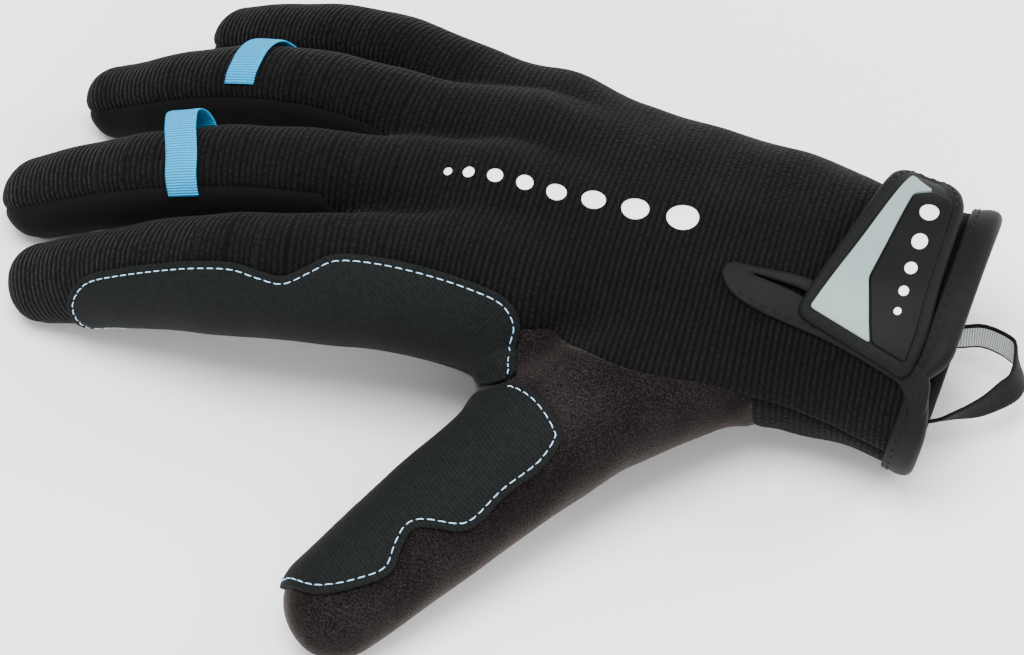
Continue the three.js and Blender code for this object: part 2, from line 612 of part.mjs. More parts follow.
pieces.push(
  overlay("index_patch", onIndexPatch, INDEX_PATCH, FACING.index, LEVEL.low, PATCH),
  overlay("thumb_patch", onThumbPatch, THUMB_PATCH, FACING.thumb, LEVEL.low, PATCH),
  layer("cuff_binding", clip(pick(onCuff), "c", (p) => CUFF_BINDING_WIDTH - fromCuff(p)), LEVEL.low, LEVEL.low + BINDING),
  layer("slit_binding", slitBand, LEVEL.low, LEVEL.low + BINDING),
  overlay("closure_strap", onWrist, STRAP_OUTLINE, FACING.wrist, LEVEL.strap, STRAP, true),
  overlay("strap_inlay", onWrist, INLAY_OUTLINE, FACING.wrist, LEVEL.plate, BADGE, true),
  overlay("strap_plate", onWrist, PLATE_OUTLINE, FACING.wrist, LEVEL.plate, BADGE, true),
);

// A band swept through four-sided sections.
function band(name, sections) {
  const positions = sections.flat();
  const triangles = [[0, 1, 2], [0, 2, 3]];
  const last = positions.length - 4;
  triangles.push([last, last + 2, last + 1], [last, last + 3, last + 2]);
  for (let i = 0; i < sections.length - 1; i++)
    for (let k = 0; k < 4; k++) {
      const a = 4 * i + k, b = 4 * i + ((k + 1) % 4);
      triangles.push([b, a, a + 4], [b, a + 4, b + 4]);
    }
  const volume = triangles.reduce((sum, [a, b, c]) =>
    sum + positions[a].dot(positions[b].clone().cross(positions[c])), 0);
  if (volume < 0) triangles.forEach((t) => t.reverse());
  return meshOf(name, positions, triangles);
}
// Pull tapes: each row is the angle round the finger, the place along it, and the height above the skin.
const MIDDLE_TAPE = [
  [78, -82.5, 0.5], [64, -82.5, 1.8], [48, -82.5, 3.2], [30, -82.2, 3.8], [12, -81, 2.8], [-6, -80, 1.3],
  [-24, -79.4, 0.5], [-48, -79.2, 0.5], [-70, -79.2, 0.5],
];
const RING_TAPE = [
  [70, -73.5, 0.5], [56, -73.8, 0.5], [42, -74.2, 0.8], [28, -74.4, 0.8], [14, -74.6, 0.6], [0, -74.6, 0.5],
  [-14, -74.6, 0.5], [-28, -74.9, 0.5], [-42, -75.2, 0.5],
];
function skinAt(digit, x, angle) {
  const chain = CHAINS[digit];
  let i = 1;
  while (i < chain.length - 1 && chain[i].x > x) i++;
  const [a, b] = [centre(chain[i - 1]), centre(chain[i])];
  const ahead = b.clone().sub(a).normalize();
  const side = ahead.clone().cross(vec(0, 0, 1)).normalize();
  const start = a.clone().lerp(b, (x - a.x) / (b.x - a.x));
  return cast(start, directionIn({ side, up: side.clone().cross(ahead), ahead, lean: 0 }, angle));
}
function tape(name, digit, table) {
  return band(name, table.map(([angle, x, lift]) => {
    const edge = (offset) => {
      const p = skinAt(digit, x + offset, angle);
      return [p.clone().addScaledVector(outward(p), lift), p.clone().addScaledVector(outward(p), lift + TAPE.thick)];
    };
    const [a, aTop] = edge(-TAPE.width / 2), [b, bTop] = edge(TAPE.width / 2);
    return [a, b, bTop, aTop];
  }));
}
pieces.push(tape("middle_finger_tape", "middle", MIDDLE_TAPE), tape("ring_finger_tape", "ring", RING_TAPE));

// Hang loop: webbing that stands on edge inside the cuff's palm side and folds over beyond the cuff.
const LOOP_PATH = [
  [84, 36, 9.4], [90, 37, 10.45], [95, 37.6, 10.9], [99.4, 38.5, 11.5], [103.6, 37.4, 12], [107.4, 34.8, 12.6],
  [109.8, 29, 13], [109.8, 24.6, 13], [107.2, 20.8, 12.8], [103.6, 17.2, 12], [98.6, 14.8, 10.4],
  [93, 12.6, 8.7], [88, 11.4, 8.8], [83, 11, 9.1],
];
const loopCurve = new THREE.CatmullRomCurve3(LOOP_PATH.map(([x, y, z]) => vec(x, y, z)));
const LOOP_STEPS = 22;
pieces.push(band("hang_loop", Array.from({ length: LOOP_STEPS + 1 }, (_, i) => {
  const p = loopCurve.getPoint(i / LOOP_STEPS);
  const sideways = loopCurve.getTangent(i / LOOP_STEPS).cross(vec(0, 0, 1)).normalize();
  const at = (s, h) => p.clone().addScaledVector(sideways, (s * WEBBING.thick) / 2).add(vec(0, 0, (h * WEBBING.width) / 2));
  return [at(-1, -1), at(1, -1), at(1, 1), at(-1, 1)];
})));

const part = new THREE.Group();
part.name = "cycling_glove";
part.add(...pieces);
for (const piece of pieces) piece.geometry.translate(...HAND_TO_PART.toArray());
export default part;
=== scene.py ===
# %% [markdown]
# # A long-fingered cycling glove
# The glove lies palm down. It has a ribbed knit back, a suede palm and thumb, two grip patches, a closure
# strap at the wrist, two blue pull tapes and a hang loop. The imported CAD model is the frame: its nodes
# say where each sewn piece lies. This script dresses every node with a piece that looks like cloth,
# leather, rubber or thread. Lengths are millimetres in the hand's own frame until a mesh is made, then
# metres in the row frame.

# %% Load the frame
import math

import bmesh
import bpy
import numpy as np
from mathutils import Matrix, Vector
from mathutils.geometry import delaunay_2d_cdt
from mathutils.kdtree import KDTree


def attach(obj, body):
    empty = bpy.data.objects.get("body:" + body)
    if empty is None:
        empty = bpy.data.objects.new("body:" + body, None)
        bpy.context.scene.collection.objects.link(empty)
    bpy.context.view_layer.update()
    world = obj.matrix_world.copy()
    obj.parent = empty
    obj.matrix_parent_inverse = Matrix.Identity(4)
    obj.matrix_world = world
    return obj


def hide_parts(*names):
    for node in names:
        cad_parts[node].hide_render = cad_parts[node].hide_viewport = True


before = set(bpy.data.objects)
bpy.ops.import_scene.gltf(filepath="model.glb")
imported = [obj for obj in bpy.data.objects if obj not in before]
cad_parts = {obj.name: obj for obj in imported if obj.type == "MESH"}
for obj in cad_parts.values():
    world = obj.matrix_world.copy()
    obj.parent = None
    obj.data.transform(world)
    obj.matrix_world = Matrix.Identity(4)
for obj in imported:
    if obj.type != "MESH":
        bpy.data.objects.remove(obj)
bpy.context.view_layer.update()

# %% [markdown]
# ## The hand under the glove
# A worn glove takes the form of the hand in it. That form could be sculpted, or a flat pattern could be
# sewn up in a cloth simulation. A sculpture is hard to match to the CAD solids, and an empty glove falls
# flat. So the skin here is a field: a distance, negative inside, made of round-ended cones along the
# bones. The joints and radii are the CAD's own, so every piece lands on the CAD's own surface.

# %% Bones
HAND_TO_ROW = np.array([9.8, -4.147, 0.0])
DIGITS = {
    "index": [
        (-8, 1, 34, 15.5), (-34, -3, 34.5, 14.3), (-60, -5.5, 31, 13.4), (-85, -4, 22, 11.3),
        (-110.3, -2.5, 9, 9.3),
    ],
    "middle": [
        (-10, 22, 37, 13.5), (-40, 21.5, 37.3, 11.8), (-66, 22, 33, 11.3), (-93, 22, 24, 10.7),
        (-120.5, 22.5, 9.4, 9.7),
    ],
    "ring": [
        (-8, 43, 33.5, 13), (-36, 46, 35, 11.3), (-62, 51, 32, 10.8), (-87, 55, 23, 10.2),
        (-113, 58, 8.8, 9.0),
    ],
    "little": [
        (-5, 61, 26, 12.5), (-30, 67.7, 27.7, 10.4), (-52, 76, 25, 9.8), (-73, 82, 17.5, 9.2),
        (-91.5, 86.5, 8.3, 8.6),
    ],
    "thumb": [
        (45, 9, 24, 18), (23, -18, 25, 15.5), (6, -42, 21, 14), (-8, -62, 15.5, 12.9),
        (-17.5, -75, 11.2, 11.6),
    ],
}
PALM = [
    ((62, 17, 24, 18.5), (-8, 3, 34, 14.5)),
    ((62, 24, 27, 20.5), (-10, 23, 36, 14)),
    ((62, 36, 26, 20), (-8, 43, 33, 13)),
    ((50, 44.5, 24, 19), (-5, 59, 27, 12.5)),
    ((108, 8, 22.6, 20.4), (62, 17, 24, 18.5)),
    ((108, 34.5, 26.3, 19.6), (62, 34, 26, 20)),
    ((96, 23, 25, 20), (44, 27, 15.5, 18.5)),
]
FINGER_WEBS = [(-30, 9.5, 32, 7), (-32, 34.5, 34, 7.5), (-22, 56.5, 30, 7)]
THUMB_WEB = ((1, -12, 27, 6), (11, -25, 23.5, 9.5))
PALM_BLEND = 10
WEB_BLEND = 9
FINGER_BLEND = 9
THUMB_BLEND = 7
FLOOR_BLEND = 1
CUFF = {"x": 94.2, "y": 24, "z": 25, "slope_y": 0.05, "slope_z": 0.15}


def spline(points, count, closed=False):
    """Rows of a smooth curve through the points, which doesn't overshoot where they lie close together."""
    rows = np.asarray(points, float)
    if closed:
        ends = np.vstack([rows[-1], rows, rows[0], rows[1]])
        spans = len(rows)
    else:
        ends = np.vstack([2 * rows[0] - rows[1], rows, 2 * rows[-1] - rows[-2]])
        spans = len(rows) - 1
    curve = []
    for t in np.linspace(0, spans, count + 1):
        i = min(int(t), spans - 1)
        w = t - i
        p0, p1, p2, p3 = ends[i : i + 4]
        d0, d1, d2 = (max(np.linalg.norm(b - a) ** 0.5, 1e-4) for a, b in ((p0, p1), (p1, p2), (p2, p3)))
        out = ((p1 - p0) / d0 - (p2 - p0) / (d0 + d1) + (p2 - p1) / d1) * d1
        into = ((p2 - p1) / d1 - (p3 - p1) / (d1 + d2) + (p3 - p2) / d2) * d1
        squared = -3 * p1 + 3 * p2 - 2 * out - into
        cubed = 2 * p1 - 2 * p2 + out + into
        curve.append(p1 + out * w + squared * w**2 + cubed * w**3)
    return np.array(curve)


def smooth_chain(joints):
    """Cones every quarter of a bone, centres and radii each on their own curve."""
    joints = np.array(joints, float)
    count = (len(joints) - 1) * 4
    return np.hstack([spline(joints[:, :3], count), spline(joints[:, 3:], count)])


CHAINS = {name: smooth_chain(joints) for name, joints in DIGITS.items()}
print("cones", sum(len(c) - 1 for c in CHAINS.values()) + len(PALM))

# %% [markdown]
# ## The field
# Between two fingers the cloth makes a soft web, not a crease. Joining meshes would leave creases to be
# smoothed afterwards. A smooth minimum of the cones' distances rounds each join by a stated amount
# instead. A point is put on the skin by stepping down the field's slope. Points far from a finger skip
# its cones, because they can't change the answer there.


# %% Field functions
def round_cone(p, a, b):
    a = np.asarray(a, float)
    b = np.asarray(b, float)
    bone = b[:3] - a[:3]
    l2 = bone @ bone
    rr = a[3] - b[3]
    a2 = l2 - rr * rr
    pa = p - a[:3]
    y = pa @ bone
    z = y - l2
    q = pa * l2 - y[:, None] * bone
    x2 = (q * q).sum(1)
    y2 = y * y * l2
    z2 = z * z * l2
    k = np.sign(rr) * rr * rr * x2
    tip = np.sqrt(x2 + z2) / l2 - b[3]
    root = np.sqrt(x2 + y2) / l2 - a[3]
    side = (np.sqrt(x2 * a2 / l2) + y * rr) / l2 - a[3]
    return np.where(np.sign(z) * a2 * z2 > k, tip, np.where(np.sign(y) * a2 * y2 < k, root, side))


def smooth_min(a, b, k):
    h = np.maximum(k - np.abs(a - b), 0) / k
    return np.minimum(a, b) - h * h * k / 4


def field(points):
    p = np.asarray(points, float).reshape(-1, 3)
    palm = np.full(len(p), 1e3)
    near = p[:, 0] > -64
    q = p[near]
    hand = np.full(len(q), 1e3)
    for a, b in PALM:
        hand = smooth_min(hand, round_cone(q, a, b), PALM_BLEND)
    for web in FINGER_WEBS:
        hand = smooth_min(hand, np.linalg.norm(q - np.array(web[:3]), axis=1) - web[3], WEB_BLEND)
    palm[near] = smooth_min(hand, round_cone(q, *THUMB_WEB), WEB_BLEND)
    skin = palm.copy()
    for name, chain in CHAINS.items():
        reach = chain[:, 3].max() + 16
        low = chain[:, :3].min(0)
        high = chain[:, :3].max(0)
        close = (np.abs(p - (high + low) / 2) < (high - low) / 2 + reach).all(1)
        q = p[close]
        digit = np.full(len(q), 1e3)
        for a, b in zip(chain, chain[1:]):
            digit = np.minimum(digit, round_cone(q, a, b))
        blend = THUMB_BLEND if name == "thumb" else FINGER_BLEND
        skin[close] = np.minimum(skin[close], smooth_min(palm[close], digit, blend))
    return -smooth_min(-skin, p[:, 2], FLOOR_BLEND)


# %% Onto the skin
def outward(points):
    """Directions straight out of the skin."""
    total = np.zeros((len(points), 3))
    for corner in ((1, -1, -1), (-1, -1, 1), (-1, 1, -1), (1, 1, 1)):
        step = np.array(corner, float)
        total += step * field(points + 0.2 * step)[:, None]
    return total / np.linalg.norm(total, axis=1)[:, None]


def settle(points, rounds=2):
    """Points moved straight to the skin, and the outward directions there."""
    p = np.array(points, float).reshape(-1, 3)
    for _ in range(rounds):
        p -= outward(p) * field(p)[:, None]
    return p, outward(p)


def cast(starts, directions):
    """Points where rays from inside the glove meet the skin."""
    p = np.array(starts, float)
    d = np.array(directions, float)
    d /= np.linalg.norm(d, axis=1)[:, None]
    for _ in range(60):
        p -= d * (field(p) * 0.6)[:, None]
    return p


knuckle = cast([(-10, 22, 37)], [(0, 0, 1)])
print("top of the middle knuckle", knuckle[0].round(1), "mm")


# %% [markdown]
# ## Cloth is never quite smooth
# Knit and suede lie in long soft waves, with folds where the fingers bend. A sculpting brush or a
# displacement texture could make them, but then a patch would not follow the cloth under it. So the waves
# and folds are a function of place, added to the skin's level, and every piece that lies there uses it.

# %% Waves and folds
WAVES = [
    ((0.11, 0.23, 0.05), 0.6, 0.16),
    ((0.27, -0.12, 0.1), 2.1, 0.12),
    ((-0.06, 0.34, 0.21), 4.0, 0.1),
    ((0.41, 0.19, -0.3), 1.3, 0.06),
]
FOLDS = [
    ((-14, 9, 48), (-46, 10.5, 44), 4.0, -0.5),
    ((-12, 33, 48), (-44, 35, 44), 4.0, -0.5),
    ((-6, 54, 40), (-32, 60, 38), 4.0, -0.45),
    ((40, -6, 38), (22, 4, 44), 7.0, -0.5),
    ((36, 2, 44), (16, -4, 44), 6.0, 0.35),
    ((52, 30, 47), (40, 52, 42), 6.0, -0.35),
    ((30, -24, 36), (12, -36, 34), 5.0, -0.35),
    ((-62, -14, 40), (-60, 4, 44), 5.0, -0.35),
    ((-66, 13, 41), (-66, 31, 41), 5.0, -0.35),
    ((-62, 42, 41), (-63, 59, 40), 5.0, -0.3),
]


def relief(p):
    """Millimetres that the cloth stands off the plain skin."""
    rise = np.zeros(len(p))
    for direction, start, height in WAVES:
        rise += height * np.sin(p @ np.array(direction) + start)
    for start, end, half_width, height in FOLDS:
        a = np.array(start, float)
        b = np.array(end, float)
        t = np.clip((p - a) @ (b - a) / ((b - a) @ (b - a)), 0, 1)
        gap = np.linalg.norm(p - a - t[:, None] * (b - a), axis=1)
        rise += height * np.exp(-((gap / half_width) ** 2)) * np.sin(np.pi * (0.15 + 0.7 * t))
    return rise * np.clip((p[:, 2] - 1.0) / 5.0, 0, 1)


print("relief at the knuckle", relief(knuckle).round(2), "mm")


# %% Where the ribs run
FINGERS = ("index", "middle", "ring", "little")


def rib_place(p):
    """How far along the hand a point is: straight over the palm, then along each finger's curve."""
    runs = []
    gaps = []
    for name in FINGERS:
        chain = CHAINS[name][:, :3]
        run = -chain[0, 0]
        gap_here = np.full(len(p), 1e6)
        run_here = np.zeros(len(p))
        for i, (a, b) in enumerate(zip(chain, chain[1:])):
            length = np.linalg.norm(b - a)
            t = (p - a) @ (b - a) / length**2
            t = np.clip(t, 0, 1) if i < len(chain) - 2 else np.maximum(t, 0)
            gap = np.linalg.norm(p - a - t[:, None] * (b - a), axis=1)
            closer = gap < gap_here
            gap_here[closer] = gap[closer]
            run_here[closer] = (run + t * length)[closer]
            run += length
        gaps.append(gap_here)
        runs.append(run_here)
    weights = 1 / np.maximum(gaps, 0.5) ** 6
    finger = (weights * np.array(runs)).sum(0) / weights.sum(0)
    share = np.clip((-5 - p[:, 0]) / 35, 0, 1)
    share = share * share * (3 - 2 * share)
    return -p[:, 0] * (1 - share) + finger * share


# %% [markdown]
# ## Making meshes
# Blender makes a mesh from a list of points and a list of faces. Editing ready-made shapes would also do,
# but these pieces are worked out from numbers, so lists are the shortest way. Each mesh gets a name, a
# material and the numbers stored at its points, and rides on the glove's only body.


# %% Mesh helpers
def to_row(points):
    return (np.asarray(points) + HAND_TO_ROW) * 0.001


def add_piece(name, points, faces, material, node=None, values=None):
    """One named mesh piece, given in hand millimetres. values are numbers stored at its points."""
    mesh = bpy.data.meshes.new(name)
    mesh.from_pydata(to_row(points).tolist(), [], [list(map(int, face)) for face in faces])
    for key, numbers in (values or {}).items():
        layer = mesh.attributes.new(key, "FLOAT", "POINT")
        layer.data.foreach_set("value", np.asarray(numbers, np.float32))
    mesh.polygons.foreach_set("use_smooth", [True] * len(mesh.polygons))
    mesh.materials.append(material)
    mesh.update()
    piece = bpy.data.objects.new(name, mesh)
    bpy.context.scene.collection.objects.link(piece)
    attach(piece, "root")
    if node:
        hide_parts(node)
    side = sum(p.area for p in mesh.polygons) / 2 * 1e4
    triangles = sum(len(p.vertices) - 2 for p in mesh.polygons)
    print(f"{name}: {triangles} triangles, {side:.2f} square cm a side")
    return piece


# %% Closed solids
def boundary_edges(faces):
    """Directed edges that only one face uses, in that face's own order."""
    count = {}
    for face in faces:
        for a, b in zip(face, (*face[1:], face[0])):
            key = (a, b) if a < b else (b, a)
            count[key] = None if key in count else (a, b)
    return [edge for edge in count.values() if edge]


def thicken(top, bottom, faces):
    """A closed solid between two sheets of points that share the same faces."""
    count = len(top)
    solid = [tuple(f) for f in faces]
    solid += [tuple(i + count for i in reversed(f)) for f in faces]
    solid += [(b, a, a + count, b + count) for a, b in boundary_edges(faces)]
    return np.vstack([top, bottom]), solid


def swept(sections, closed_path=False):
    """Faces of a skin through rings of points, with flat ends unless the path is closed."""
    rings = len(sections)
    around = len(sections[0])
    faces = []
    for i in range(rings if closed_path else rings - 1):
        j = (i + 1) % rings
        for k in range(around):
            m = (k + 1) % around
            faces.append((i * around + k, i * around + m, j * around + m, j * around + k))
    if not closed_path:
        faces.append(tuple(range(around - 1, -1, -1)))
        faces.append(tuple((rings - 1) * around + k for k in range(around)))
    return np.vstack(sections), faces


def outward_faces(points, faces):
    """The same faces, turned so that the closed solid's faces look out."""
    centre = points.mean(0)
    volume = 0.0
    for face in faces:
        a = points[face[0]] - centre
        for i, j in zip(face[1:], face[2:]):
            volume += a @ np.cross(points[i] - centre, points[j] - centre)
    return faces if volume > 0 else [tuple(reversed(f)) for f in faces]


# %% [markdown]
# ## Shader building blocks
# Several finishes share an effect, such as ribs or fuzz. Its nodes could be copied into each material,
# but the copies would soon differ. A node group is built once, with named inputs and outputs, and each
# material uses it with its own values. Each material keeps its own Principled BSDF, with its plain values
# set on the shader's own sockets.


# %% Node helpers
def add_node(tree, kind, inputs=None, **settings):
    """One node. inputs are constants or other nodes' sockets, by socket name or number."""
    node = tree.nodes.new(kind)
    for key, value in settings.items():
        setattr(node, key, value)
    for key, value in (inputs or {}).items():
        if isinstance(value, bpy.types.NodeSocket):
            tree.links.new(value, node.inputs[key])
        else:
            node.inputs[key].default_value = value
    return node


def maths(tree, operation, *values):
    return add_node(tree, "ShaderNodeMath", dict(enumerate(values)), operation=operation).outputs[0]


def new_group(name, inputs, outputs):
    """An empty group with float inputs and their defaults, and float outputs."""
    tree = bpy.data.node_groups.new(name, "ShaderNodeTree")
    for label, value in inputs.items():
        kind = "NodeSocketVector" if value is None else "NodeSocketFloat"
        socket = tree.interface.new_socket(label, in_out="INPUT", socket_type=kind)
        if value is not None:
            socket.default_value = value
    for label in outputs:
        tree.interface.new_socket(label, in_out="OUTPUT", socket_type="NodeSocketFloat")
    return tree, tree.nodes.new("NodeGroupInput"), tree.nodes.new("NodeGroupOutput")


def use_group(tree, group, inputs):
    return add_node(tree, "ShaderNodeGroup", inputs, node_tree=group)


# %% [markdown]
# ## Ribs and fuzz
# A rib knit is rows of rounded cords, broken up by small loops. A picture of knit would repeat and blur
# in a close view, so a sine along the cloth makes the cords and a cell pattern breaks them. Fuzz is fibre
# noise at two sizes, for cloth, suede and leather.

# %% Groups
rib_group, rib_in, rib_out = new_group(
    "knit_ribs", {"Along": 0.0, "Place": None, "Pitch": 1.4, "Waver": 0.3, "Loops": 0.35}, ["Height"]
)
rib = rib_in.outputs
waver = add_node(
    rib_group, "ShaderNodeTexNoise", {"Vector": rib["Place"], "Scale": 90.0, "Detail": 2.0}
)
shifted = maths(rib_group, "MULTIPLY_ADD", waver.outputs["Fac"], rib["Waver"], rib["Along"])
turns = maths(rib_group, "MULTIPLY", maths(rib_group, "DIVIDE", shifted, rib["Pitch"]), 2 * math.pi)
crest = maths(rib_group, "MULTIPLY_ADD", maths(rib_group, "SINE", turns), 0.5, 0.5)
soft_crest = maths(rib_group, "POWER", crest, 0.7)
loops = add_node(rib_group, "ShaderNodeTexVoronoi", {"Vector": rib["Place"], "Scale": 1150.0})
loop_share = maths(rib_group, "MULTIPLY", loops.outputs["Distance"], rib["Loops"])
whole_share = maths(rib_group, "SUBTRACT", 1.0, loop_share)
rib_height = maths(rib_group, "MULTIPLY", soft_crest, whole_share)
rib_group.links.new(rib_height, rib_out.inputs["Height"])

fuzz_group, fuzz_in, fuzz_out = new_group(
    "fibre_fuzz", {"Place": None, "Fine": 2600.0, "Broad": 70.0}, ["Fine", "Broad"]
)
for label, detail, roughness in (("Fine", 3.0, 0.6), ("Broad", 2.0, 0.5)):
    noise = add_node(fuzz_group, "ShaderNodeTexNoise", {
        "Vector": fuzz_in.outputs["Place"], "Scale": fuzz_in.outputs[label],
        "Detail": detail, "Roughness": roughness,
    })
    fuzz_group.links.new(noise.outputs["Fac"], fuzz_out.inputs[label])
print("groups", rib_group.name, fuzz_group.name)

# %% [markdown]
# ## Materials
# Most of the glove is close to black, so its parts are told apart by relief and by how their fibres catch
# the light, more than by colour. Colours are written as a display shows them and turned into the linear
# values that shaders take. A finish is a colour between two shades and a bump, both from the same
# pattern.


# %% Material helpers
def srgb(red, green, blue):
    """A display colour from 0 to 255 as the linear values that shaders take."""
    linear = []
    for value in (red, green, blue):
        v = value / 255
        linear.append(v / 12.92 if v <= 0.04045 else ((v + 0.055) / 1.055) ** 2.4)
    return (*linear, 1.0)


def new_material(name, roughness, **sockets):
    """A material with its Principled shader and object coordinates ready to use."""
    material = bpy.data.materials.new(name)
    material.use_nodes = True
    tree = material.node_tree
    shader = tree.nodes["Principled BSDF"]
    shader.inputs["Roughness"].default_value = roughness
    for key, value in sockets.items():
        shader.inputs[key.replace("_", " ")].default_value = value
    place = tree.nodes.new("ShaderNodeTexCoord").outputs["Object"]
    return material, tree, shader, place


def paint(tree, shader, factor, dark, light):
    """Base colour between two display colours."""
    mix = add_node(tree, "ShaderNodeMix", data_type="RGBA")
    tree.links.new(factor, mix.inputs[0])
    mix.inputs[6].default_value = srgb(*dark)
    mix.inputs[7].default_value = srgb(*light)
    tree.links.new(mix.outputs[2], shader.inputs["Base Color"])


def emboss(tree, shader, height, distance):
    """Surface relief from a height between 0 and 1, distance in millimetres."""
    inputs = {"Strength": 1.0, "Distance": distance * 0.001, "Height": height}
    bump = add_node(tree, "ShaderNodeBump", inputs)
    tree.links.new(bump.outputs["Normal"], shader.inputs["Normal"])


def attribute(tree, name):
    return add_node(tree, "ShaderNodeAttribute", attribute_name=name).outputs["Fac"]


# %% [markdown]
# ## Knits
# The back and the inner wrist are a ribbed knit, and the strips between the fingers a smooth one. Over a
# hundred and fifty ribs could be modelled, at the cost of millions of triangles. A bump is enough for
# relief of half a millimetre. The number stored as along makes the ribs follow each finger's own curve.


# %% Knits
def knit(name, dark, light, distance, pitch, loops, sheen):
    material, tree, shader, place = new_material(
        name, 0.9, Sheen_Weight=sheen, Sheen_Roughness=0.45, Specular_IOR_Level=0.06
    )
    ribs = use_group(tree, rib_group, {
        "Along": attribute(tree, "along"), "Place": place, "Pitch": pitch, "Loops": loops,
    })
    fuzz = use_group(tree, fuzz_group, {"Place": place})
    patchy = maths(tree, "MULTIPLY_ADD", fuzz.outputs["Broad"], 0.7, 0.55)
    # Painted shade and highlight: the base colour is darker in the rib valleys and lighter on the crests,
    # times a patchy random tone from the broad fuzz.
    painted_rib_shade_and_tone = maths(tree, "MULTIPLY", ribs.outputs["Height"], patchy)
    paint(tree, shader, painted_rib_shade_and_tone, dark, light)
    height = maths(tree, "MULTIPLY_ADD", fuzz.outputs["Fine"], 0.18, ribs.outputs["Height"])
    emboss(tree, shader, height, distance)
    return material


ribbed_knit = knit("ribbed_knit", (2, 2, 2), (20, 20, 20), 0.55, 1.42, 0.8, 0.02)
smooth_knit = knit("smooth_knit", (8, 8, 8), (14, 14, 14), 0.06, 0.7, 0.5, 0.015)

# %% [markdown]
# ## Suede, grip cloth and leather
# The palm and the thumb are suede, whose nap catches light at a slant. Sheen gives that light, and fuzz
# at two sizes gives patches brushed one way or the other. The grip patches are a coated weave: fine
# diagonal bands, hardly any sheen. The strap and the bindings are a thin synthetic leather with a faint
# grain.

# %% Suede, grip cloth and leather
suede, tree, shader, place = new_material(
    "suede", 0.95, Sheen_Weight=0.26, Sheen_Roughness=0.32, Sheen_Tint=srgb(205, 192, 186),
    Specular_IOR_Level=0.03,
)
fuzz = use_group(tree, fuzz_group, {"Place": place, "Fine": 2300.0, "Broad": 55.0})
patchy = maths(tree, "MULTIPLY_ADD", fuzz.outputs["Broad"], 0.9, -0.25)
nap = maths(tree, "ADD", patchy, maths(tree, "MULTIPLY_ADD", fuzz.outputs["Fine"], 2.3, -1.15))
paint(tree, shader, nap, (10, 8, 8), (44, 39, 39))
emboss(tree, shader, fuzz.outputs["Fine"], 0.24)

grip_cloth, tree, shader, place = new_material("grip_cloth", 0.75, Sheen_Weight=0.01, Specular_IOR_Level=0.05)
fuzz = use_group(tree, fuzz_group, {"Place": place, "Fine": 1000.0, "Broad": 120.0})
weave = add_node(
    tree, "ShaderNodeTexWave",
    {"Vector": place, "Scale": 430.0, "Distortion": 1.6, "Detail": 2.0, "Detail Scale": 6.0},
    bands_direction="DIAGONAL",
)
coating = maths(tree, "MULTIPLY", fuzz.outputs["Fine"], 0.9)
grain = maths(tree, "MULTIPLY_ADD", weave.outputs["Fac"], 0.3, coating)
paint(tree, shader, maths(tree, "SUBTRACT", grain, 0.25), (9, 11, 11), (25, 28, 27))
emboss(tree, shader, grain, 0.14)

synthetic_leather, tree, shader, place = new_material("synthetic_leather", 0.6, Specular_IOR_Level=0.07)
fuzz = use_group(tree, fuzz_group, {"Place": place, "Fine": 1700.0, "Broad": 90.0})
paint(tree, shader, fuzz.outputs["Broad"], (10, 11, 11), (18, 19, 19))
emboss(tree, shader, fuzz.outputs["Fine"], 0.05)


# %% [markdown]
# ## Rubber, tape, webbing, thread and print
# These parts are small and nearly plain, so one function with a faint grain does for the rubber, the
# threads and the print. The tapes and the loop are narrow woven goods with cords across them. They use
# the rib group again, with a finer pitch.


# %% Rubber, tape, webbing, thread and print
def plain(name, dark, light, roughness, fine, distance, **sockets):
    """A material with little more than a faint grain."""
    material, tree, shader, place = new_material(name, roughness, **sockets)
    fuzz = use_group(tree, fuzz_group, {"Place": place, "Fine": fine})
    paint(tree, shader, fuzz.outputs["Broad"], dark, light)
    emboss(tree, shader, fuzz.outputs["Fine"], distance)
    return material


pale_rubber = plain(
    "pale_rubber", (112, 130, 129), (126, 142, 141), 0.45, 2200.0, 0.02, Specular_IOR_Level=0.2
)
dark_rubber = plain("dark_rubber", (7, 8, 8), (12, 13, 13), 0.55, 2200.0, 0.03, Specular_IOR_Level=0.08)
pale_thread = plain("pale_thread", (140, 184, 218), (178, 208, 232), 0.6, 5000.0, 0.05)
dark_thread = plain("dark_thread", (6, 6, 6), (11, 11, 11), 0.6, 5000.0, 0.05, Specular_IOR_Level=0.15)
print_ink = plain("print_ink", (226, 228, 228), (238, 240, 240), 0.55, 1400.0, 0.1)


def woven(name, dark, light, pitch, distance, sheen):
    """Narrow woven goods: cords across the band, broken up by small loops."""
    material, tree, shader, place = new_material(name, 0.75, Sheen_Weight=sheen, Specular_IOR_Level=0.1)
    ribs = use_group(tree, rib_group, {
        "Along": attribute(tree, "along"), "Place": place, "Pitch": pitch, "Loops": 0.4, "Waver": 0.05,
    })
    paint(tree, shader, ribs.outputs["Height"], dark, light)
    emboss(tree, shader, ribs.outputs["Height"], distance)
    return material


blue_tape = woven("blue_tape", (0, 104, 162), (4, 172, 222), 0.62, 0.22, 0.03)
pale_webbing = woven("pale_webbing", (120, 124, 124), (212, 217, 217), 0.6, 0.2, 0.1)
dark_webbing = woven("dark_webbing", (6, 6, 6), (22, 22, 22), 0.6, 0.14, 0.01)
print("materials", len(bpy.data.materials))

# %% [markdown]
# ## Sewn panels
# A panel is cut flat and sewn to its neighbours with the seam inside, so its edge dips. A cloth
# simulation could find that, but would also move the panels away from the CAD. Here the outer faces of
# each CAD node are turned back into four-sided cells, subdivided, and settled on the skin again. The
# cloth is lowered near its seams and given a thickness, and its underside runs a little past the seam, as
# a real seam allowance does.

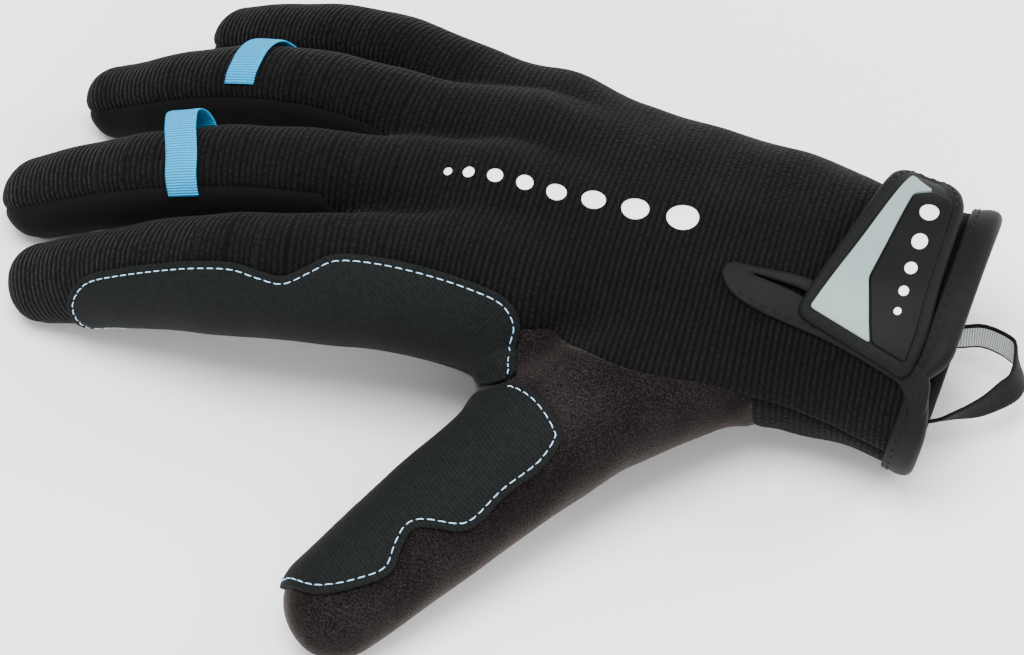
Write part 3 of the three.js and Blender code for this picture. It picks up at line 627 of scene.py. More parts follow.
# %% Panels
CLOTH_THICK = 1.35
SEAM_DIP = 0.55
SEAM_REACH = 2.4
SEAM_ALLOWANCE = 1.0
SLIT = [(96, 0, 36), (76, 4.5, 42.5), (63, 8, 46), (54, 9.5, 47.5), (46.5, 8.5, 48)]
PANELS = {
    "back_panel": (ribbed_knit, "ribbed_knit", 3),
    "palm_panel": (suede, "suede", 2),
    "thumb_panel": (suede, "suede", 2),
    "wrist_panel": (ribbed_knit, "ribbed_knit", 3),
    "fourchette_index_middle": (smooth_knit, "smooth_knit", 3),
    "fourchette_middle_ring": (smooth_knit, "smooth_knit", 3),
    "fourchette_ring_little": (smooth_knit, "smooth_knit", 3),
}


def outer_cells(node):
    """The outer face of a CAD node as a mesh of mostly four-sided cells."""
    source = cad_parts[node]
    cells = bmesh.new()
    cells.from_mesh(source.data)
    cells.transform(source.matrix_world)
    bmesh.ops.remove_doubles(cells, verts=cells.verts, dist=1e-6)
    points = np.array([v.co for v in cells.verts]) * 1000 - HAND_TO_ROW
    outside = np.abs(field(points)) < 0.6
    inner = [f for f in cells.faces if not all(outside[v.index] for v in f.verts)]
    bmesh.ops.delete(cells, geom=inner, context="FACES")
    bmesh.ops.join_triangles(
        cells, faces=cells.faces, angle_face_threshold=math.radians(50),
        angle_shape_threshold=math.radians(70),
    )
    sharp = cells.verts.layers.float.new("crease_vert")
    for vert in cells.verts:
        ends = [edge.other_vert(vert).co - vert.co for edge in vert.link_edges if edge.is_boundary]
        if len(ends) == 2 and ends[0].angle(ends[1], math.pi) < math.radians(140):
            vert[sharp] = 1.0
    mesh = bpy.data.meshes.new(node + "_cells")
    cells.to_mesh(mesh)
    cells.free()
    return mesh


def subdivided(mesh, levels):
    """Points in hand millimetres and faces of the mesh after smooth subdivision."""
    helper = bpy.data.objects.new(mesh.name, mesh)
    bpy.context.scene.collection.objects.link(helper)
    modifier = helper.modifiers.new("finer", "SUBSURF")
    modifier.levels = levels
    modifier.boundary_smooth = "PRESERVE_CORNERS"
    finer = helper.evaluated_get(bpy.context.evaluated_depsgraph_get()).to_mesh()
    points = np.empty(len(finer.vertices) * 3)
    finer.vertices.foreach_get("co", points)
    corners = np.empty(len(finer.loops), int)
    finer.loops.foreach_get("vertex_index", corners)
    faces = [tuple(corners[i : i + 4]) for i in range(0, len(corners), 4)]
    helper.to_mesh_clear()
    bpy.data.objects.remove(helper)
    bpy.data.meshes.remove(mesh)
    return points.reshape(-1, 3) * 1000 - HAND_TO_ROW, faces


# %% Seams
def distance_to(points, line):
    """Distance of each point to the nearest of many close points on a line."""
    flat = line.shape[1] == 2
    tree = KDTree(len(line))
    for i, spot in enumerate(line):
        tree.insert((*spot, 0.0) if flat else spot, i)
    tree.balance()
    return np.array([tree.find((*spot, 0.0) if flat else spot)[2] for spot in points])


def cuff_gap(p):
    """How far a point is inside the cuff's edge."""
    edge = CUFF["x"] + CUFF["slope_y"] * (p[:, 1] - CUFF["y"]) + CUFF["slope_z"] * (p[:, 2] - CUFF["z"])
    return edge - p[:, 0]


slit_line = []
for slit_from, slit_to in zip(np.array(SLIT), np.array(SLIT[1:])):
    slit_line += [slit_from + (slit_to - slit_from) * t for t in np.linspace(0, 1, 30)]
slit_line = np.array(slit_line)


def seam_allowance(skin, normals, faces):
    """Steps that carry the cloth's underside past its seams, so that no light shows through them."""
    steps = np.zeros_like(skin)
    for a, b in boundary_edges(faces):
        out = np.cross(skin[b] - skin[a], normals[a])
        out /= max(np.linalg.norm(out), 1e-9)
        steps[a] += out
        steps[b] += out
    size = np.linalg.norm(steps, axis=1)
    sewn = (size > 0.1) & (cuff_gap(skin) > 1.5)
    sewn[sewn] = distance_to(skin[sewn], slit_line) > 4
    steps[sewn] *= SEAM_ALLOWANCE / size[sewn][:, None]
    steps[~sewn] = 0
    return steps


# %% Make the panels
for node, (material, slot, levels) in PANELS.items():
    points, faces = subdivided(outer_cells(node), levels)
    skin, normals = settle(points, 1)
    edge = np.array([a for a, _ in boundary_edges(faces)])
    seam = skin[edge][cuff_gap(skin[edge]) > 1.5]
    reach = distance_to(skin, seam)
    dip = SEAM_DIP * np.clip(1 - reach / SEAM_REACH, 0, 1) ** 2
    rise = (relief(skin) - dip * np.clip(skin[:, 2] / 2, 0, 1))[:, None]
    top = skin + normals * rise
    bottom = skin + normals * (rise - CLOTH_THICK) + seam_allowance(skin, normals, faces)
    solid, solid_faces = thicken(top, bottom, faces)
    along = rib_place(skin)
    add_piece(node + "_cloth", solid, solid_faces, material, node, {"along": np.tile(along, 2)})

# %% [markdown]
# ## Layers laid on the panels
# Patches, bindings, strap and badges are cut pieces laid on the cloth, and their edges are what one sees.
# A boolean cut would leave rough edges. Here an outline on the skin is filled with triangles that follow
# rings inside its edge. A profile then says how high the layer stands at each distance from that edge: a
# rounded rim, a thread channel, a lip.


# %% Layer helpers
def walk(points, spacing, closed=True):
    """The same line with points evenly spaced along it."""
    line = np.vstack([points, points[:1]]) if closed else np.asarray(points)
    run = np.r_[0, np.cumsum(np.linalg.norm(np.diff(line, axis=0), axis=1))]
    count = max(int(round(run[-1] / spacing)), 4)
    places = np.linspace(0, run[-1], count + 1)
    even = np.column_stack([np.interp(places, run, line[:, k]) for k in range(line.shape[1])])
    return even[:-1] if closed else even


def filleted(corners, radius, spacing=0.6):
    """A closed polygon with its corners rounded."""
    corners = np.asarray(corners, float)
    line = []
    for before, corner, after in zip(np.roll(corners, 1, 0), corners, np.roll(corners, -1, 0)):
        into = (before - corner) / np.linalg.norm(before - corner)
        out = (after - corner) / np.linalg.norm(after - corner)
        cut = min(radius, np.linalg.norm(before - corner) * 0.45, np.linalg.norm(after - corner) * 0.45)
        for t in np.linspace(0, 1, 9):
            line.append(corner + into * cut * (1 - t) ** 2 + out * cut * t**2)
    return walk(np.array(line), spacing)


# %% Fill an outline
def inside_outline(p, outline):
    """Which flat points lie inside a flat closed outline."""
    a = outline
    b = np.roll(outline, -1, 0)
    crosses = (a[None, :, 1] > p[:, None, 1]) != (b[None, :, 1] > p[:, None, 1])
    climb = np.where(b[:, 1] == a[:, 1], 1e-9, b[:, 1] - a[:, 1])
    at = (b[:, 0] - a[:, 0]) * (p[:, None, 1] - a[:, 1]) / climb + a[:, 0]
    return (crosses & (p[:, None, 0] < at)).sum(1) % 2 == 1


def filled(outline, facing, rings, spacing):
    """Skin points, normals, faces and edge distances of a layer inside a 3-D outline."""
    toward = np.array(facing, float) / np.linalg.norm(facing)
    side = np.cross((0, 0, 1) if abs(toward[2]) < 0.8 else (0, 1, 0), toward)
    side /= np.linalg.norm(side)
    up = np.cross(toward, side)
    rim, _ = settle(outline)
    flat = np.column_stack([rim @ side, rim @ up])
    depth = rim @ toward
    area = 0.5 * (flat[:, 0] * np.roll(flat[:, 1], -1) - flat[:, 1] * np.roll(flat[:, 0], -1)).sum()
    if area < 0:
        rim, flat, depth = rim[::-1], flat[::-1], depth[::-1]
    tangent = np.roll(flat, -1, 0) - np.roll(flat, 1, 0)
    tangent /= np.linalg.norm(tangent, axis=1)[:, None]
    inward = np.column_stack([-tangent[:, 1], tangent[:, 0]])
    points = [flat]
    for offset in rings:
        ring = flat + inward * offset
        gap = distance_to(ring, flat)
        points.append(ring[inside_outline(ring, flat) & (gap > offset * 0.93)])
    low = flat.min(0)
    high = flat.max(0)
    row = spacing * 0.866
    grid = [
        (x + (j % 2) * spacing / 2, y)
        for j, y in enumerate(np.arange(low[1], high[1], row))
        for x in np.arange(low[0], high[0], spacing)
    ]
    grid = np.array(grid)
    grid = grid[inside_outline(grid, flat)]
    points.append(grid[distance_to(grid, flat) > rings[-1] + spacing * 0.6])
    every = np.vstack(points)
    loop = [(i, (i + 1) % len(flat)) for i in range(len(flat))]
    made, _, faces, _, _, _ = delaunay_2d_cdt([Vector(p) for p in every], loop, [], 1, 1e-5)
    flat_points = np.array([tuple(p) for p in made])
    faces = [tuple(f) for f in faces]
    gaps = np.maximum(((flat_points[:, None, :] - flat[None, ::2, :]) ** 2).sum(2), 1e-4)
    weights = gaps**-1.5
    deep = (weights * depth[::2]).sum(1) / weights.sum(1)
    edge = sorted({a for a, _ in boundary_edges(faces)})
    start = flat_points[:, :1] * side + flat_points[:, 1:] * up + deep[:, None] * toward
    skin, normals = settle(start, 4)
    skin[edge], normals[edge] = settle(start[edge], 3)
    reach = distance_to(skin, walk(skin[edge_order(faces)], 0.25))
    reach[edge] = 0
    return skin, normals, faces, reach, rim


def edge_order(faces):
    """The boundary's points in order round the outline."""
    following = dict(boundary_edges(faces))
    first = next(iter(following))
    order = [first]
    while following[order[-1]] != first:
        order.append(following[order[-1]])
    return order


# %% Profiles and layers
def rounded(reach, radius):
    """How far a rounded edge falls below the top, near the edge."""
    inside = np.clip(reach, 0, radius)
    return radius - np.sqrt(radius**2 - (radius - inside) ** 2)


def groove(reach, centre, half_width, depth):
    return depth * np.exp(-(((reach - centre) / half_width) ** 2))


def add_layer(name, node, material, outline, facing, bottom, profile, rings, spacing=1.0, lift=None):
    """A layer between a bottom level and a profile of levels. Returns its edge line.
    lift gives each point's extra level; the bottom takes three quarters of it."""
    skin, normals, faces, reach, rim = filled(outline, facing, rings, spacing)
    rise = relief(skin)
    extra = lift(skin) if lift else np.zeros(len(skin))
    top = skin + normals * (profile(reach) + rise + extra)[:, None]
    low = skin + normals * (bottom + rise + extra * 0.75)[:, None]
    points, solid = thicken(top, low, faces)
    add_piece(name, points, solid, material, node, {"along": np.tile(rib_place(skin), 2)})
    return rim


# %% [markdown]
# ## Stitches
# A sewn line shows as short threads whose ends dip into the cloth. A texture would look flat in a close
# view, and a separate object for each thread would be hundreds of them. So each thread is a short tapered
# tube, and all the threads of a line are one mesh. They follow a line set inside an edge.


# %% Stitches
def inner_line(rim, inset, level):
    """A line on the layer, set in from its edge, at a level above the skin."""
    line = walk(rim, 0.5)
    tangent = np.roll(line, -1, 0) - np.roll(line, 1, 0)
    tangent /= np.linalg.norm(tangent, axis=1)[:, None]
    inward = np.cross(outward(line), tangent)
    moved, normals = settle(line + inward * inset)
    return moved + normals * (level + relief(moved))[:, None], normals


def add_stitches(
    name, line, normals, material, length=2.0, pitch=2.9, radius=0.2, keep=None, closed=True
):
    """Threads along a line of points. keep chooses them by their middle point."""
    points = np.vstack([line, line[:1]]) if closed else line
    ups = np.vstack([normals, normals[:1]]) if closed else normals
    run = np.r_[0, np.cumsum(np.linalg.norm(np.diff(points, axis=0), axis=1))]
    count = int(run[-1] / pitch)
    sides = 6
    every = []
    faces = []
    for number in range(count):
        start = (number + 0.25) * run[-1] / count
        places = start + np.linspace(0, length, 6)
        centres = np.column_stack([np.interp(places, run, points[:, k]) for k in range(3)])
        up = np.column_stack([np.interp(places, run, ups[:, k]) for k in range(3)])
        if keep is not None and not keep(centres[3]):
            continue
        ahead = np.gradient(centres, axis=0)
        ahead /= np.linalg.norm(ahead, axis=1)[:, None]
        across = np.cross(ahead, up)
        across /= np.linalg.norm(across, axis=1)[:, None]
        up = np.cross(across, ahead)
        t = np.linspace(-1, 1, 6)
        lift = 0.18 - 0.42 * t**4
        thick = radius * np.array([0.55, 0.95, 1, 1, 0.95, 0.55])
        sections = []
        for i in range(6):
            angle = np.linspace(0, 2 * math.pi, sides, endpoint=False)[:, None]
            circle = np.cos(angle) * across[i] + np.sin(angle) * up[i]
            sections.append(centres[i] + up[i] * lift[i] + thick[i] * circle)
        stitch, stitch_faces = swept(sections)
        stitch_faces = outward_faces(stitch, stitch_faces)
        base = sum(len(s) for s in every)
        every.append(stitch)
        faces += [tuple(base + i for i in f) for f in stitch_faces]
    return add_piece(name, np.vstack(every), faces, material)


# %% [markdown]
# ## Grip patches
# One patch covers the side of the index finger, the other the thumb. Both are sewn on with pale thread
# that lies in a channel. No simple shape fits their outlines, so each is a smooth closed curve through
# chosen points. Where an edge is joined in a plain seam, a rule leaves the thread out.

# %% Patches
PATCH_TOP = 1.25
PATCH_BOTTOM = 0.1
THREAD_INSET = 1.6
RINGS = [0.2, 0.5, 0.9, 1.3, 1.8, 2.5]
INDEX_PATCH = [
    (-98, -8.5, 10), (-80, -11, 15), (-60, -12.8, 19.8), (-35, -12, 23), (-20, -12, 24), (-11, -15, 24),
    (-5, -19.3, 27.4), (-1.6, -22.6, 31), (2.2, -24.6, 34.9), (6.2, -23.7, 37.4), (7, -21.8, 36.6),
    (5.7, -17.6, 35.6), (5.4, -14.3, 36.8), (5.4, -12.1, 39.3), (4.3, -10.8, 42.2), (1.2, -9.6, 45.2),
    (-6.7, -8.6, 46.9), (-22.9, -7.8, 47.4), (-37.6, -9.6, 47.4), (-43, -12.6, 45.2), (-47.9, -14.4, 42.6),
    (-53, -14.4, 42.6), (-60.3, -13.4, 42.2), (-87.4, -11.8, 30.6), (-96.5, -11, 24), (-100, -12, 18),
]
THUMB_PATCH = [
    (-26.5, -78.5, 18.4), (-19.2, -80.4, 20.6), (-11, -76.9, 22.3), (-5.8, -72.8, 23.8), (-4.6, -67.1, 27),
    (-3.2, -63.9, 28.5), (6.9, -59.4, 26.7), (13.7, -50.8, 30.4), (19.2, -41.9, 32.2), (22, -36.8, 36.2),
    (20.5, -34.8, 37.9), (18.2, -32.7, 39.1), (14.9, -30.1, 39.6), (11.4, -27.9, 39.2), (7.4, -26, 37.6),
    (2.3, -26.8, 33.7), (-1, -25.8, 30.4), (-7, -32, 24), (-12, -42, 19), (-17, -54, 16), (-24, -66, 14.5),
    (-29, -76, 14),
]


def patch_profile(reach):
    return PATCH_TOP - rounded(reach, 0.45) - groove(reach, THREAD_INSET, 0.4, 0.3)


# %% Which stitches show
def sewn_on_index(p):
    """The patch's lower edge and the edge that meets the thumb's patch are joined in a plain seam."""
    low = p[0] > -86 and p[2] < 29
    meets_thumb = (p[1] < -15 and -18 < p[0] < 3.2) or p[1] < -22.6
    return not (low or meets_thumb)


def sewn_on_thumb(p):
    """The edge that faces the index finger is a plain seam too."""
    far_edge = p[0] < -3 + (p[1] + 32) * 0.5 and p[1] > -74
    meets_index = p[1] > -33 and p[0] < 7
    return not (far_edge or meets_index)


# %% Make the patches
for name, corners, facing, keep in (
    ("index_patch", INDEX_PATCH, (0.05, -1, 0.2), sewn_on_index),
    ("thumb_patch", THUMB_PATCH, (-0.35, 0, 0.94), sewn_on_thumb),
):
    outline = walk(spline(corners, 400, closed=True)[:-1], 0.6)
    rim = add_layer(
        name + "_cloth", name, grip_cloth, outline, facing, PATCH_BOTTOM, patch_profile, RINGS
    )
    line, normals = inner_line(rim, THREAD_INSET, PATCH_TOP - 0.14)
    add_stitches(
        name + "_thread", line, normals, pale_thread,
        length=1.9, pitch=2.35, radius=0.14, keep=keep,
    )

# %% [markdown]
# ## The cuff's binding
# A strip folded over the cuff's edge and sewn through keeps it from fraying. A curve with a bevelled
# profile would be quick, but it can't follow the waves of the cloth. So a bent profile is swept round the
# opening, and each of its points is cast onto the skin and lifted by its own level. The ends draw in
# beside the slit.

# %% Cuff binding
CUFF_PROFILE = [
    (4.6, 0.15), (4.9, 0.6), (4.7, 1.05), (4.2, 1.25), (3.2, 1.1), (2.4, 1.25), (1.2, 1.45), (0.0, 1.45),
    (-1.0, 1.2), (-1.7, 0.6), (-2.1, -0.3), (-2.1, -1.3), (-1.7, -2.1), (-0.8, -2.6), (1.0, -2.8),
    (3.0, -2.7), (4.4, -2.6), (4.6, -2.2), (4.4, -1.9), (2.0, -1.8), (-0.2, -1.6), (-0.7, -0.7),
    (-0.3, 0.1), (2.0, 0.12),
]


def cuff_ring(inset, degrees):
    """Skin points at a distance inside the cuff's edge: one number, or one for each angle."""
    angle = np.radians(degrees)
    lean = CUFF["slope_y"] * np.cos(angle) + CUFF["slope_z"] * np.sin(angle)
    directions = np.column_stack([lean, np.cos(angle), np.sin(angle)])
    starts = np.tile((CUFF["x"], CUFF["y"], CUFF["z"]), (len(degrees), 1)).astype(float)
    starts[:, 0] -= inset
    return cast(starts, directions)


# %% Sweep the cuff's binding
lip = np.array(SLIT[0], float)
slit_angle = math.degrees(math.atan2(lip[2] - CUFF["z"], lip[1] - CUFF["y"]))
cuff_degrees = np.linspace(slit_angle + 3.0, slit_angle + 358.0, 220)
near_corner = np.clip(1 - (cuff_degrees - cuff_degrees[0]) / 22, 0, 1) ** 2 * 2.5
far_corner = np.clip(1 - (cuff_degrees[-1] - cuff_degrees) / 15, 0, 1) ** 2 * 4.5
cuff_columns = []
for inset, level in CUFF_PROFILE:
    drawn_in = (near_corner + far_corner) * (1 - np.clip(inset, 0, 4.5) / 4.5)
    ring = cuff_ring(inset + drawn_in, cuff_degrees)
    cuff_columns.append(ring + outward(ring) * (level + relief(ring))[:, None])
cuff_sections = [np.array([column[i] for column in cuff_columns]) for i in range(len(cuff_degrees))]
points, faces = swept(cuff_sections)
add_piece(
    "cuff_binding_fold", points, outward_faces(points, faces), synthetic_leather, "cuff_binding"
)
ring = cuff_ring(3.3, cuff_degrees)
normals = outward(ring)
add_stitches(
    "cuff_binding_thread", ring + normals * (1.1 + relief(ring))[:, None], normals, dark_thread,
    closed=False,
)

# %% [markdown]
# ## The slit's binding
# The slit lets the cuff open over the hand, and its binding lies flat along both sides of it. Two strips
# would need a join at the slit's end. One layer, with an outline that runs round both sides, has none.

# %% Slit binding
SLIT_OUTLINE = [
    (90.9, -8.8, 30), (90.3, -6.4, 34.5), (87.5, -3.5, 37.5), (82.9, -1.8, 38.2), (75.3, 0.4, 39.7),
    (68.9, 1.4, 41.3), (63.1, 2.1, 42.2), (57.2, 2.8, 43.2), (50.8, 3.9, 44.8), (47, 5.6, 45.9),
    (44.6, 8.8, 47.3), (45, 11, 48), (46.6, 12.3, 48.2), (54.9, 12.2, 47.9), (62, 12.4, 47),
    (74, 11, 46), (90, 8, 42), (89.6, 4.2, 41),
    (75, 6.0, 43.5), (62.1, 9.6, 46.6), (50.6, 10.4, 47.8), (62, 8.6, 46), (75, 5.0, 43), (90, 1.6, 39.5),
    (93.6, 0.2, 38.5), (94.6, -2.6, 37.5), (94.6, -6.4, 34.8), (93.6, -8.6, 31),
]


def slit_profile(reach):
    return 1.4 - rounded(reach, 0.6)


outline = filleted(SLIT_OUTLINE, 1.6, 0.5)
rim = add_layer(
    "slit_binding_strip", "slit_binding", synthetic_leather, outline, (0, -0.2, 1), 0.1,
    slit_profile, [0.2, 0.5, 0.9, 1.4], 0.8,
)
line, normals = inner_line(rim, 1.3, 1.34)


def outer_side(p):
    return p[1] < 6.4 - 0.058 * (p[0] - 50) and p[0] < 90


add_stitches("slit_binding_thread", line, normals, dark_thread, keep=outer_side)

# %% [markdown]
# ## The closure strap
# The strap closes the slit. It has a padded rim with a stitched line in it, and a moulded badge in two
# colours set inside the rim. It could be modelled flat and bent by a modifier, but as a layer it follows
# the wrist from the start, and one profile gives its rim and its channels. Its far end isn't sewn down,
# so it stands up a little.

# %% Strap
STRAP_BOTTOM = 1.4
STRAP_TOP = 3.0
STRAP_LIFT = 2.3
STRAP_THREAD_INSET = 1.7
BADGE_BOTTOM = 3.0
BADGE_TOP = 3.75
STRAP_OUTLINE = [
    (62.3, 3.6, 45), (89.4, -3, 38), (91.8, 4, 41), (92.4, 38, 47), (90.8, 43.5, 46), (86.5, 51.8, 42),
    (78, 54, 42), (74, 46, 46),
]
INLAY_OUTLINE = [
    (65.4, 5.3, 46), (79.9, 1.2, 43), (75.7, 15.2, 46), (80, 39.0, 47), (84.2, 41.8, 46), (78.1, 45.6, 45),
]
PLATE_OUTLINE = [
    (80.3, 1.2, 43), (88.6, 0.0, 40), (89.6, 6, 41), (89.9, 36.6, 47), (88.9, 39.2, 47), (84.7, 41.2, 46),
    (80.4, 38.6, 47), (76.1, 15.2, 46),
]


def strap_profile(reach):
    rim_bulge = 0.55 * np.exp(-((reach - STRAP_THREAD_INSET) ** 2))
    level = STRAP_TOP - rounded(reach, 0.8) + rim_bulge
    return level - groove(reach, STRAP_THREAD_INSET, 0.35, 0.25) - groove(reach, 3.2, 0.35, 0.2)


def badge_profile(reach):
    return BADGE_TOP - rounded(reach, 0.3)


def strap_lift(p):
    """The strap's far end stands up from the wrist a little."""
    share = np.clip((p[:, 1] - 18) / 32, 0, 1)
    return STRAP_LIFT * share * share * (3 - 2 * share)


# %% Make the strap and its badge
up = (0, -0.1, 1)
strap_rings = [0.2, 0.45, 0.8, 1.2, 1.5, 1.9, 2.4, 2.9, 3.3, 3.8]
rim = add_layer(
    "closure_strap_tab", "closure_strap", synthetic_leather, filleted(STRAP_OUTLINE, 3.2, 0.5),
    up, STRAP_BOTTOM, strap_profile, strap_rings, 1.0, strap_lift,
)
line, normals = inner_line(rim, STRAP_THREAD_INSET, STRAP_TOP + 0.2)
line += normals * strap_lift(line)[:, None]
add_stitches("closure_strap_thread", line, normals, dark_thread)
for name, outline, material, slot in (
    ("strap_inlay", INLAY_OUTLINE, pale_rubber, "inlay"),
    ("strap_plate", PLATE_OUTLINE, dark_rubber, "plate"),
):
    add_layer(
        name + "_badge", name, material, filleted(outline, 1.0, 0.4), up, BADGE_BOTTOM,
        badge_profile, [0.1, 0.25, 0.5], 1.0, strap_lift,
    )

# %% [markdown]
# ## Pull tapes
# Two tapes help to pull the glove off the fingers. Each is sewn in at the finger's seams and stands off
# the cloth between them. A strip shrunk onto the finger would cling everywhere. So each tape is swept
# through rows that give the angle round the finger, the place along it and the height above the skin.

# %% Tapes
TAPE_WIDTH = 7.2
TAPE_THICK = 0.55
MIDDLE_TAPE = [
    (78, -82.5, 0.3), (64, -82.5, 1.8), (48, -82.5, 3.2), (30, -82.2, 3.8), (12, -81, 2.8), (-6, -80, 1.3),
    (-24, -79.4, 0.45), (-48, -79.2, 0.3), (-70, -79.2, 0.1),
]
RING_TAPE = [
    (70, -73.5, 0.2), (56, -73.8, 0.4), (42, -74.2, 0.8), (28, -74.4, 0.8), (14, -74.6, 0.6),
    (0, -74.6, 0.45), (-14, -74.6, 0.35), (-28, -74.9, 0.3), (-42, -75.2, 0.1),
]


# %% Tape helpers
def skin_at(digit, x, degrees):
    """Skin points at places x along a finger and angles from its top."""
    chain = CHAINS[digit]
    points = []
    directions = []
    for place, angle in zip(x, np.radians(degrees)):
        i = 1
        while i < len(chain) - 1 and chain[i, 0] > place:
            i += 1
        a = chain[i - 1, :3]
        b = chain[i, :3]
        ahead = (b - a) / np.linalg.norm(b - a)
        side = np.cross(ahead, (0, 0, 1))
        side /= np.linalg.norm(side)
        up = np.cross(side, ahead)
        points.append(a + (b - a) * (place - a[0]) / (b[0] - a[0]))
        directions.append(side * math.sin(angle) + up * math.cos(angle))
    return cast(points, directions)


def add_tape(name, node, digit, table):
    """A pull tape over one finger. Returns its length."""
    rows = spline(table, 90)
    across = np.linspace(-1, 1, 13)
    columns = []
    for t in across:
        skin = skin_at(digit, rows[:, 1] + t * TAPE_WIDTH / 2, rows[:, 0])
        columns.append((skin, outward(skin)))
    left, right = columns[0], columns[-1]
    tops = []
    lows = []
    for t, (skin, normals) in zip(across, columns):
        share = (t + 1) / 2
        straight = left[0] * (1 - share) + right[0] * share
        flatness = np.clip(rows[:, 2] / 2, 0, 1)[:, None]
        base = skin * (1 - flatness) + (straight + normals * 0.2) * flatness
        edge = 0.16 * np.clip((abs(t) - 0.75) / 0.25, 0, 1) ** 2
        lift = rows[:, 2] + relief(skin) * 0.8
        tops.append(base + normals * (lift + TAPE_THICK - edge)[:, None])
        lows.append(base + normals * (lift + edge)[:, None])
    round_it = tops + lows[::-1]
    sections = [np.array([column[i] for column in round_it]) for i in range(len(rows))]
    points, faces = swept(sections)
    middle = (tops[6] + lows[6]) / 2
    run = np.r_[0, np.cumsum(np.linalg.norm(np.diff(middle, axis=0), axis=1))]
    values = {"along": np.repeat(run, len(sections[0]))}
    add_piece(name, points, outward_faces(points, faces), blue_tape, node, values)
    return run[-1]


# %% Make the tapes
middle_length = add_tape("middle_finger_pull_tape", "middle_finger_tape", "middle", MIDDLE_TAPE)
ring_length = add_tape("ring_finger_pull_tape", "ring_finger_tape", "ring", RING_TAPE)
print("tape lengths", round(middle_length, 1), round(ring_length, 1))

# %% [markdown]
# ## Hang loop
# A loop of narrow webbing hangs the glove on a hook. It leaves the cuff on edge and folds over, and its
# two faces differ in colour. A bevelled curve is hard to twist just so. Here a flat section is swept
# along a path with a stated lean at each place, and the faces on one side take the second material.

# %% Loop
LOOP_WIDTH = 6.6
LOOP_THICK = 0.9
LOOP_PATH = [
    (84, 36, 9.4), (90, 37, 10.45), (95, 37.6, 10.9), (99.4, 38.5, 11.5), (103.6, 37.4, 12),
    (107.4, 34.8, 12.6), (109.8, 29, 13), (109.8, 24.6, 13), (107.2, 20.8, 12.8), (103.6, 17.2, 12),
    (98.6, 14.8, 10.4), (93, 12.6, 8.7), (88, 11.4, 8.8), (83, 11, 9.1),
]
# Share of the way round, and degrees that the webbing leans over.
LOOP_LEAN = [
    (0, -8), (0.36, -8), (0.43, 20), (0.5, 30), (0.58, 24), (0.67, 0), (0.75, -24), (0.82, -40), (1, -42),
]
# %% Sweep the loop
path = spline(LOOP_PATH, 110)
tangent = np.gradient(path, axis=0)
tangent /= np.linalg.norm(tangent, axis=1)[:, None]
sideways = np.cross(tangent, (0, 0, 1))
sideways /= np.linalg.norm(sideways, axis=1)[:, None]
run = np.r_[0, np.cumsum(np.linalg.norm(np.diff(path, axis=0), axis=1))]
lean = np.radians(np.interp(run / run[-1], *zip(*LOOP_LEAN)))[:, None]
upright = np.array([0, 0, 1]) * np.cos(lean) + sideways * np.sin(lean)
face_out = sideways * np.cos(lean) - np.array([0, 0, 1]) * np.sin(lean)
inner_face = []
outer_face = []
for h in np.linspace(-1, 1, 11):
    half = LOOP_THICK / 2 * (1 - 0.45 * max(abs(h) - 0.8, 0) / 0.2)
    inner_face.append(path + upright * h * LOOP_WIDTH / 2 - face_out * half)
    outer_face.append(path + upright * h * LOOP_WIDTH / 2 + face_out * half)
loop_columns = outer_face + inner_face[::-1]
sections = [np.array([column[i] for column in loop_columns]) for i in range(len(path))]
points, faces = swept(sections)
loop = add_piece(
    "hang_loop_webbing", points, outward_faces(points, faces), dark_webbing, "hang_loop",
    {"along": np.repeat(run, len(sections[0]))},
)
# %% The loop's pale face
loop.data.materials.append(pale_webbing)
for polygon in loop.data.polygons:
    centre = np.array(polygon.center) * 1000 - HAND_TO_ROW
    nearest = np.argmin(np.linalg.norm(path - centre, axis=1))
    offset = centre - path[nearest]
    if offset @ face_out[nearest] > 0 and abs(offset @ upright[nearest]) < 0.38 * LOOP_WIDTH:
        polygon.material_index = 1
print("loop length", round(run[-1], 1))

# %% [markdown]
# ## A plain print
# Round dots of falling size are printed on the back of the hand and on the badge. A decal would need a
# picture, so each dot is a thin disc of ink. Its rings of points are settled on the skin, so it bends
# with the cloth.


# %% Dots
DOT_SIDES = 32
DOT_RINGS = (0.45, 0.85, 1.0)
INK_THICK = 0.12


def add_dots(name, start, end, radii, facing, level, material, lift=None):
    """Flat discs on a line over the skin. lift gives each point's extra level."""
    toward = np.array(facing, float) / np.linalg.norm(facing)
    every = []
    faces = []
    run = np.cumsum(np.array(radii) * 2 + 1.4)
    for place, radius in zip((run - run[0]) / (run[-1] - run[0]), radii):
        middle = np.array(start) * (1 - place) + np.array(end) * place
        ahead = np.array(end, float) - np.array(start, float)
        ahead /= np.linalg.norm(ahead)
        side = np.cross(toward, ahead)
        base = sum(len(e) for e in every)
        disc = [middle]
        for size in DOT_RINGS:
            for angle in np.linspace(0, 2 * math.pi, DOT_SIDES, endpoint=False):
                disc.append(middle + size * radius * (math.cos(angle) * ahead + math.sin(angle) * side))
        skin, normals = settle(disc, 3)
        extra = lift(skin) if lift else 0
        top = skin + normals * (level + relief(skin) + extra)[:, None]
        flat_faces = [(0, 1 + k, 1 + (k + 1) % DOT_SIDES) for k in range(DOT_SIDES)]
        for r in range(len(DOT_RINGS) - 1):
            inner = 1 + DOT_SIDES * r
            outer = inner + DOT_SIDES
            for k in range(DOT_SIDES):
                m = (k + 1) % DOT_SIDES
                flat_faces.append((inner + k, outer + k, outer + m, inner + m))
        points, solid = thicken(top, top - normals * INK_THICK, flat_faces)
        faces += [tuple(base + i for i in f) for f in outward_faces(points, solid)]
        every.append(points)
    every = np.vstack(every)
    return add_piece(name, every, faces, material, None, {"along": rib_place(every)})


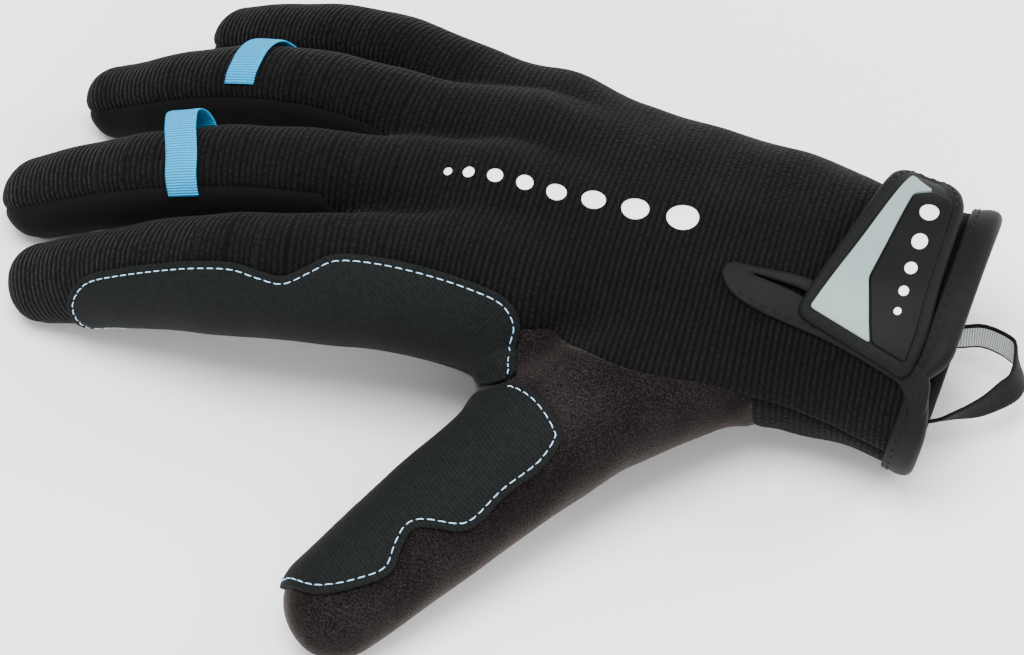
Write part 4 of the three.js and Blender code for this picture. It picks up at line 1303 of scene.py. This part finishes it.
# %% Print the dots
add_dots(
    "back_print", (-20, 18.8, 50), (33, 21.0, 50), (1.0, 1.3, 1.6, 1.9, 2.3, 2.7, 3.1, 3.6), (0, 0, 1), 0.1,
    print_ink,
)
add_dots(
    "badge_print", (84.2, 9, 45), (85.0, 34, 48), (0.9, 1.2, 1.5, 1.9, 2.3), (0, 0, 1), BADGE_TOP + 0.1,
    print_ink, strap_lift,
)

# %% [markdown]
# The widths and lengths in this table are rough estimates that were not measured on the meshes. The pull
# tapes and the hang loop are narrower than a declared sheet may be, so they aren't in it.

# %% [markdown]
# ## Floor, light and camera
# The photograph shows the glove on white, in soft light. A pale floor, one broad light above and two
# weaker ones, from the side and the front, come near that. An image of a studio could light it too, but
# matt cloth would hardly show the difference. The camera stands where it fits the photograph best.

# %% Stage
floor_mesh = bpy.data.meshes.new("floor")
floor_mesh.from_pydata([(-3, -3, 0), (3, -3, 0), (3, 3, 0), (-3, 3, 0)], [], [(0, 1, 2, 3)])
floor = bpy.data.objects.new("floor", floor_mesh)
bpy.context.scene.collection.objects.link(floor)
floor_material, tree, shader, place = new_material("floor_white", 0.9)
shader.inputs["Base Color"].default_value = (0.93, 0.93, 0.93, 1)
floor_mesh.materials.append(floor_material)


# %% Lights
def add_light(name, place, aim, size, power):
    data = bpy.data.lights.new(name, "AREA")
    data.shape = "DISK"
    data.size = size
    data.energy = power
    light = bpy.data.objects.new(name, data)
    light.location = place
    light.rotation_euler = (Vector(aim) - Vector(place)).to_track_quat("-Z", "Y").to_euler()
    bpy.context.scene.collection.objects.link(light)
    return light


add_light("key_light", (-0.05, -0.2, 1.05), (0, 0, 0), 0.7, 22)
add_light("side_light", (0.8, 0.5, 0.6), (0, 0, 0.02), 0.6, 10)
add_light("front_light", (0.1, -1.1, 0.4), (0, 0, 0.02), 0.6, 8)
print("lights", len(bpy.data.lights))

# %% Surroundings
world = bpy.data.worlds.new("studio")
world.use_nodes = True
background = world.node_tree.nodes["Background"]
background.inputs["Color"].default_value = (1, 1, 1, 1)
background.inputs["Strength"].default_value = 1.18
bpy.context.scene.world = world

# %% Camera
CAMERA_AZIMUTH = math.radians(16)
CAMERA_ELEVATION = math.radians(48)
CAMERA_DISTANCE = 0.9
CAMERA_TARGET = Vector((0.0098, -0.004147, 0.025))
toward_camera = Vector((
    math.sin(CAMERA_AZIMUTH) * math.cos(CAMERA_ELEVATION),
    -math.cos(CAMERA_AZIMUTH) * math.cos(CAMERA_ELEVATION),
    math.sin(CAMERA_ELEVATION),
))
camera_data = bpy.data.cameras.new("camera")
camera_data.lens = 142.4
camera_data.sensor_width = 36
camera = bpy.data.objects.new("camera", camera_data)
camera.location = CAMERA_TARGET + toward_camera * CAMERA_DISTANCE
camera.rotation_euler = (-toward_camera).to_track_quat("-Z", "Y").to_euler()
bpy.context.scene.collection.objects.link(camera)
bpy.context.scene.camera = camera
print("camera at", [round(v, 3) for v in camera.location])
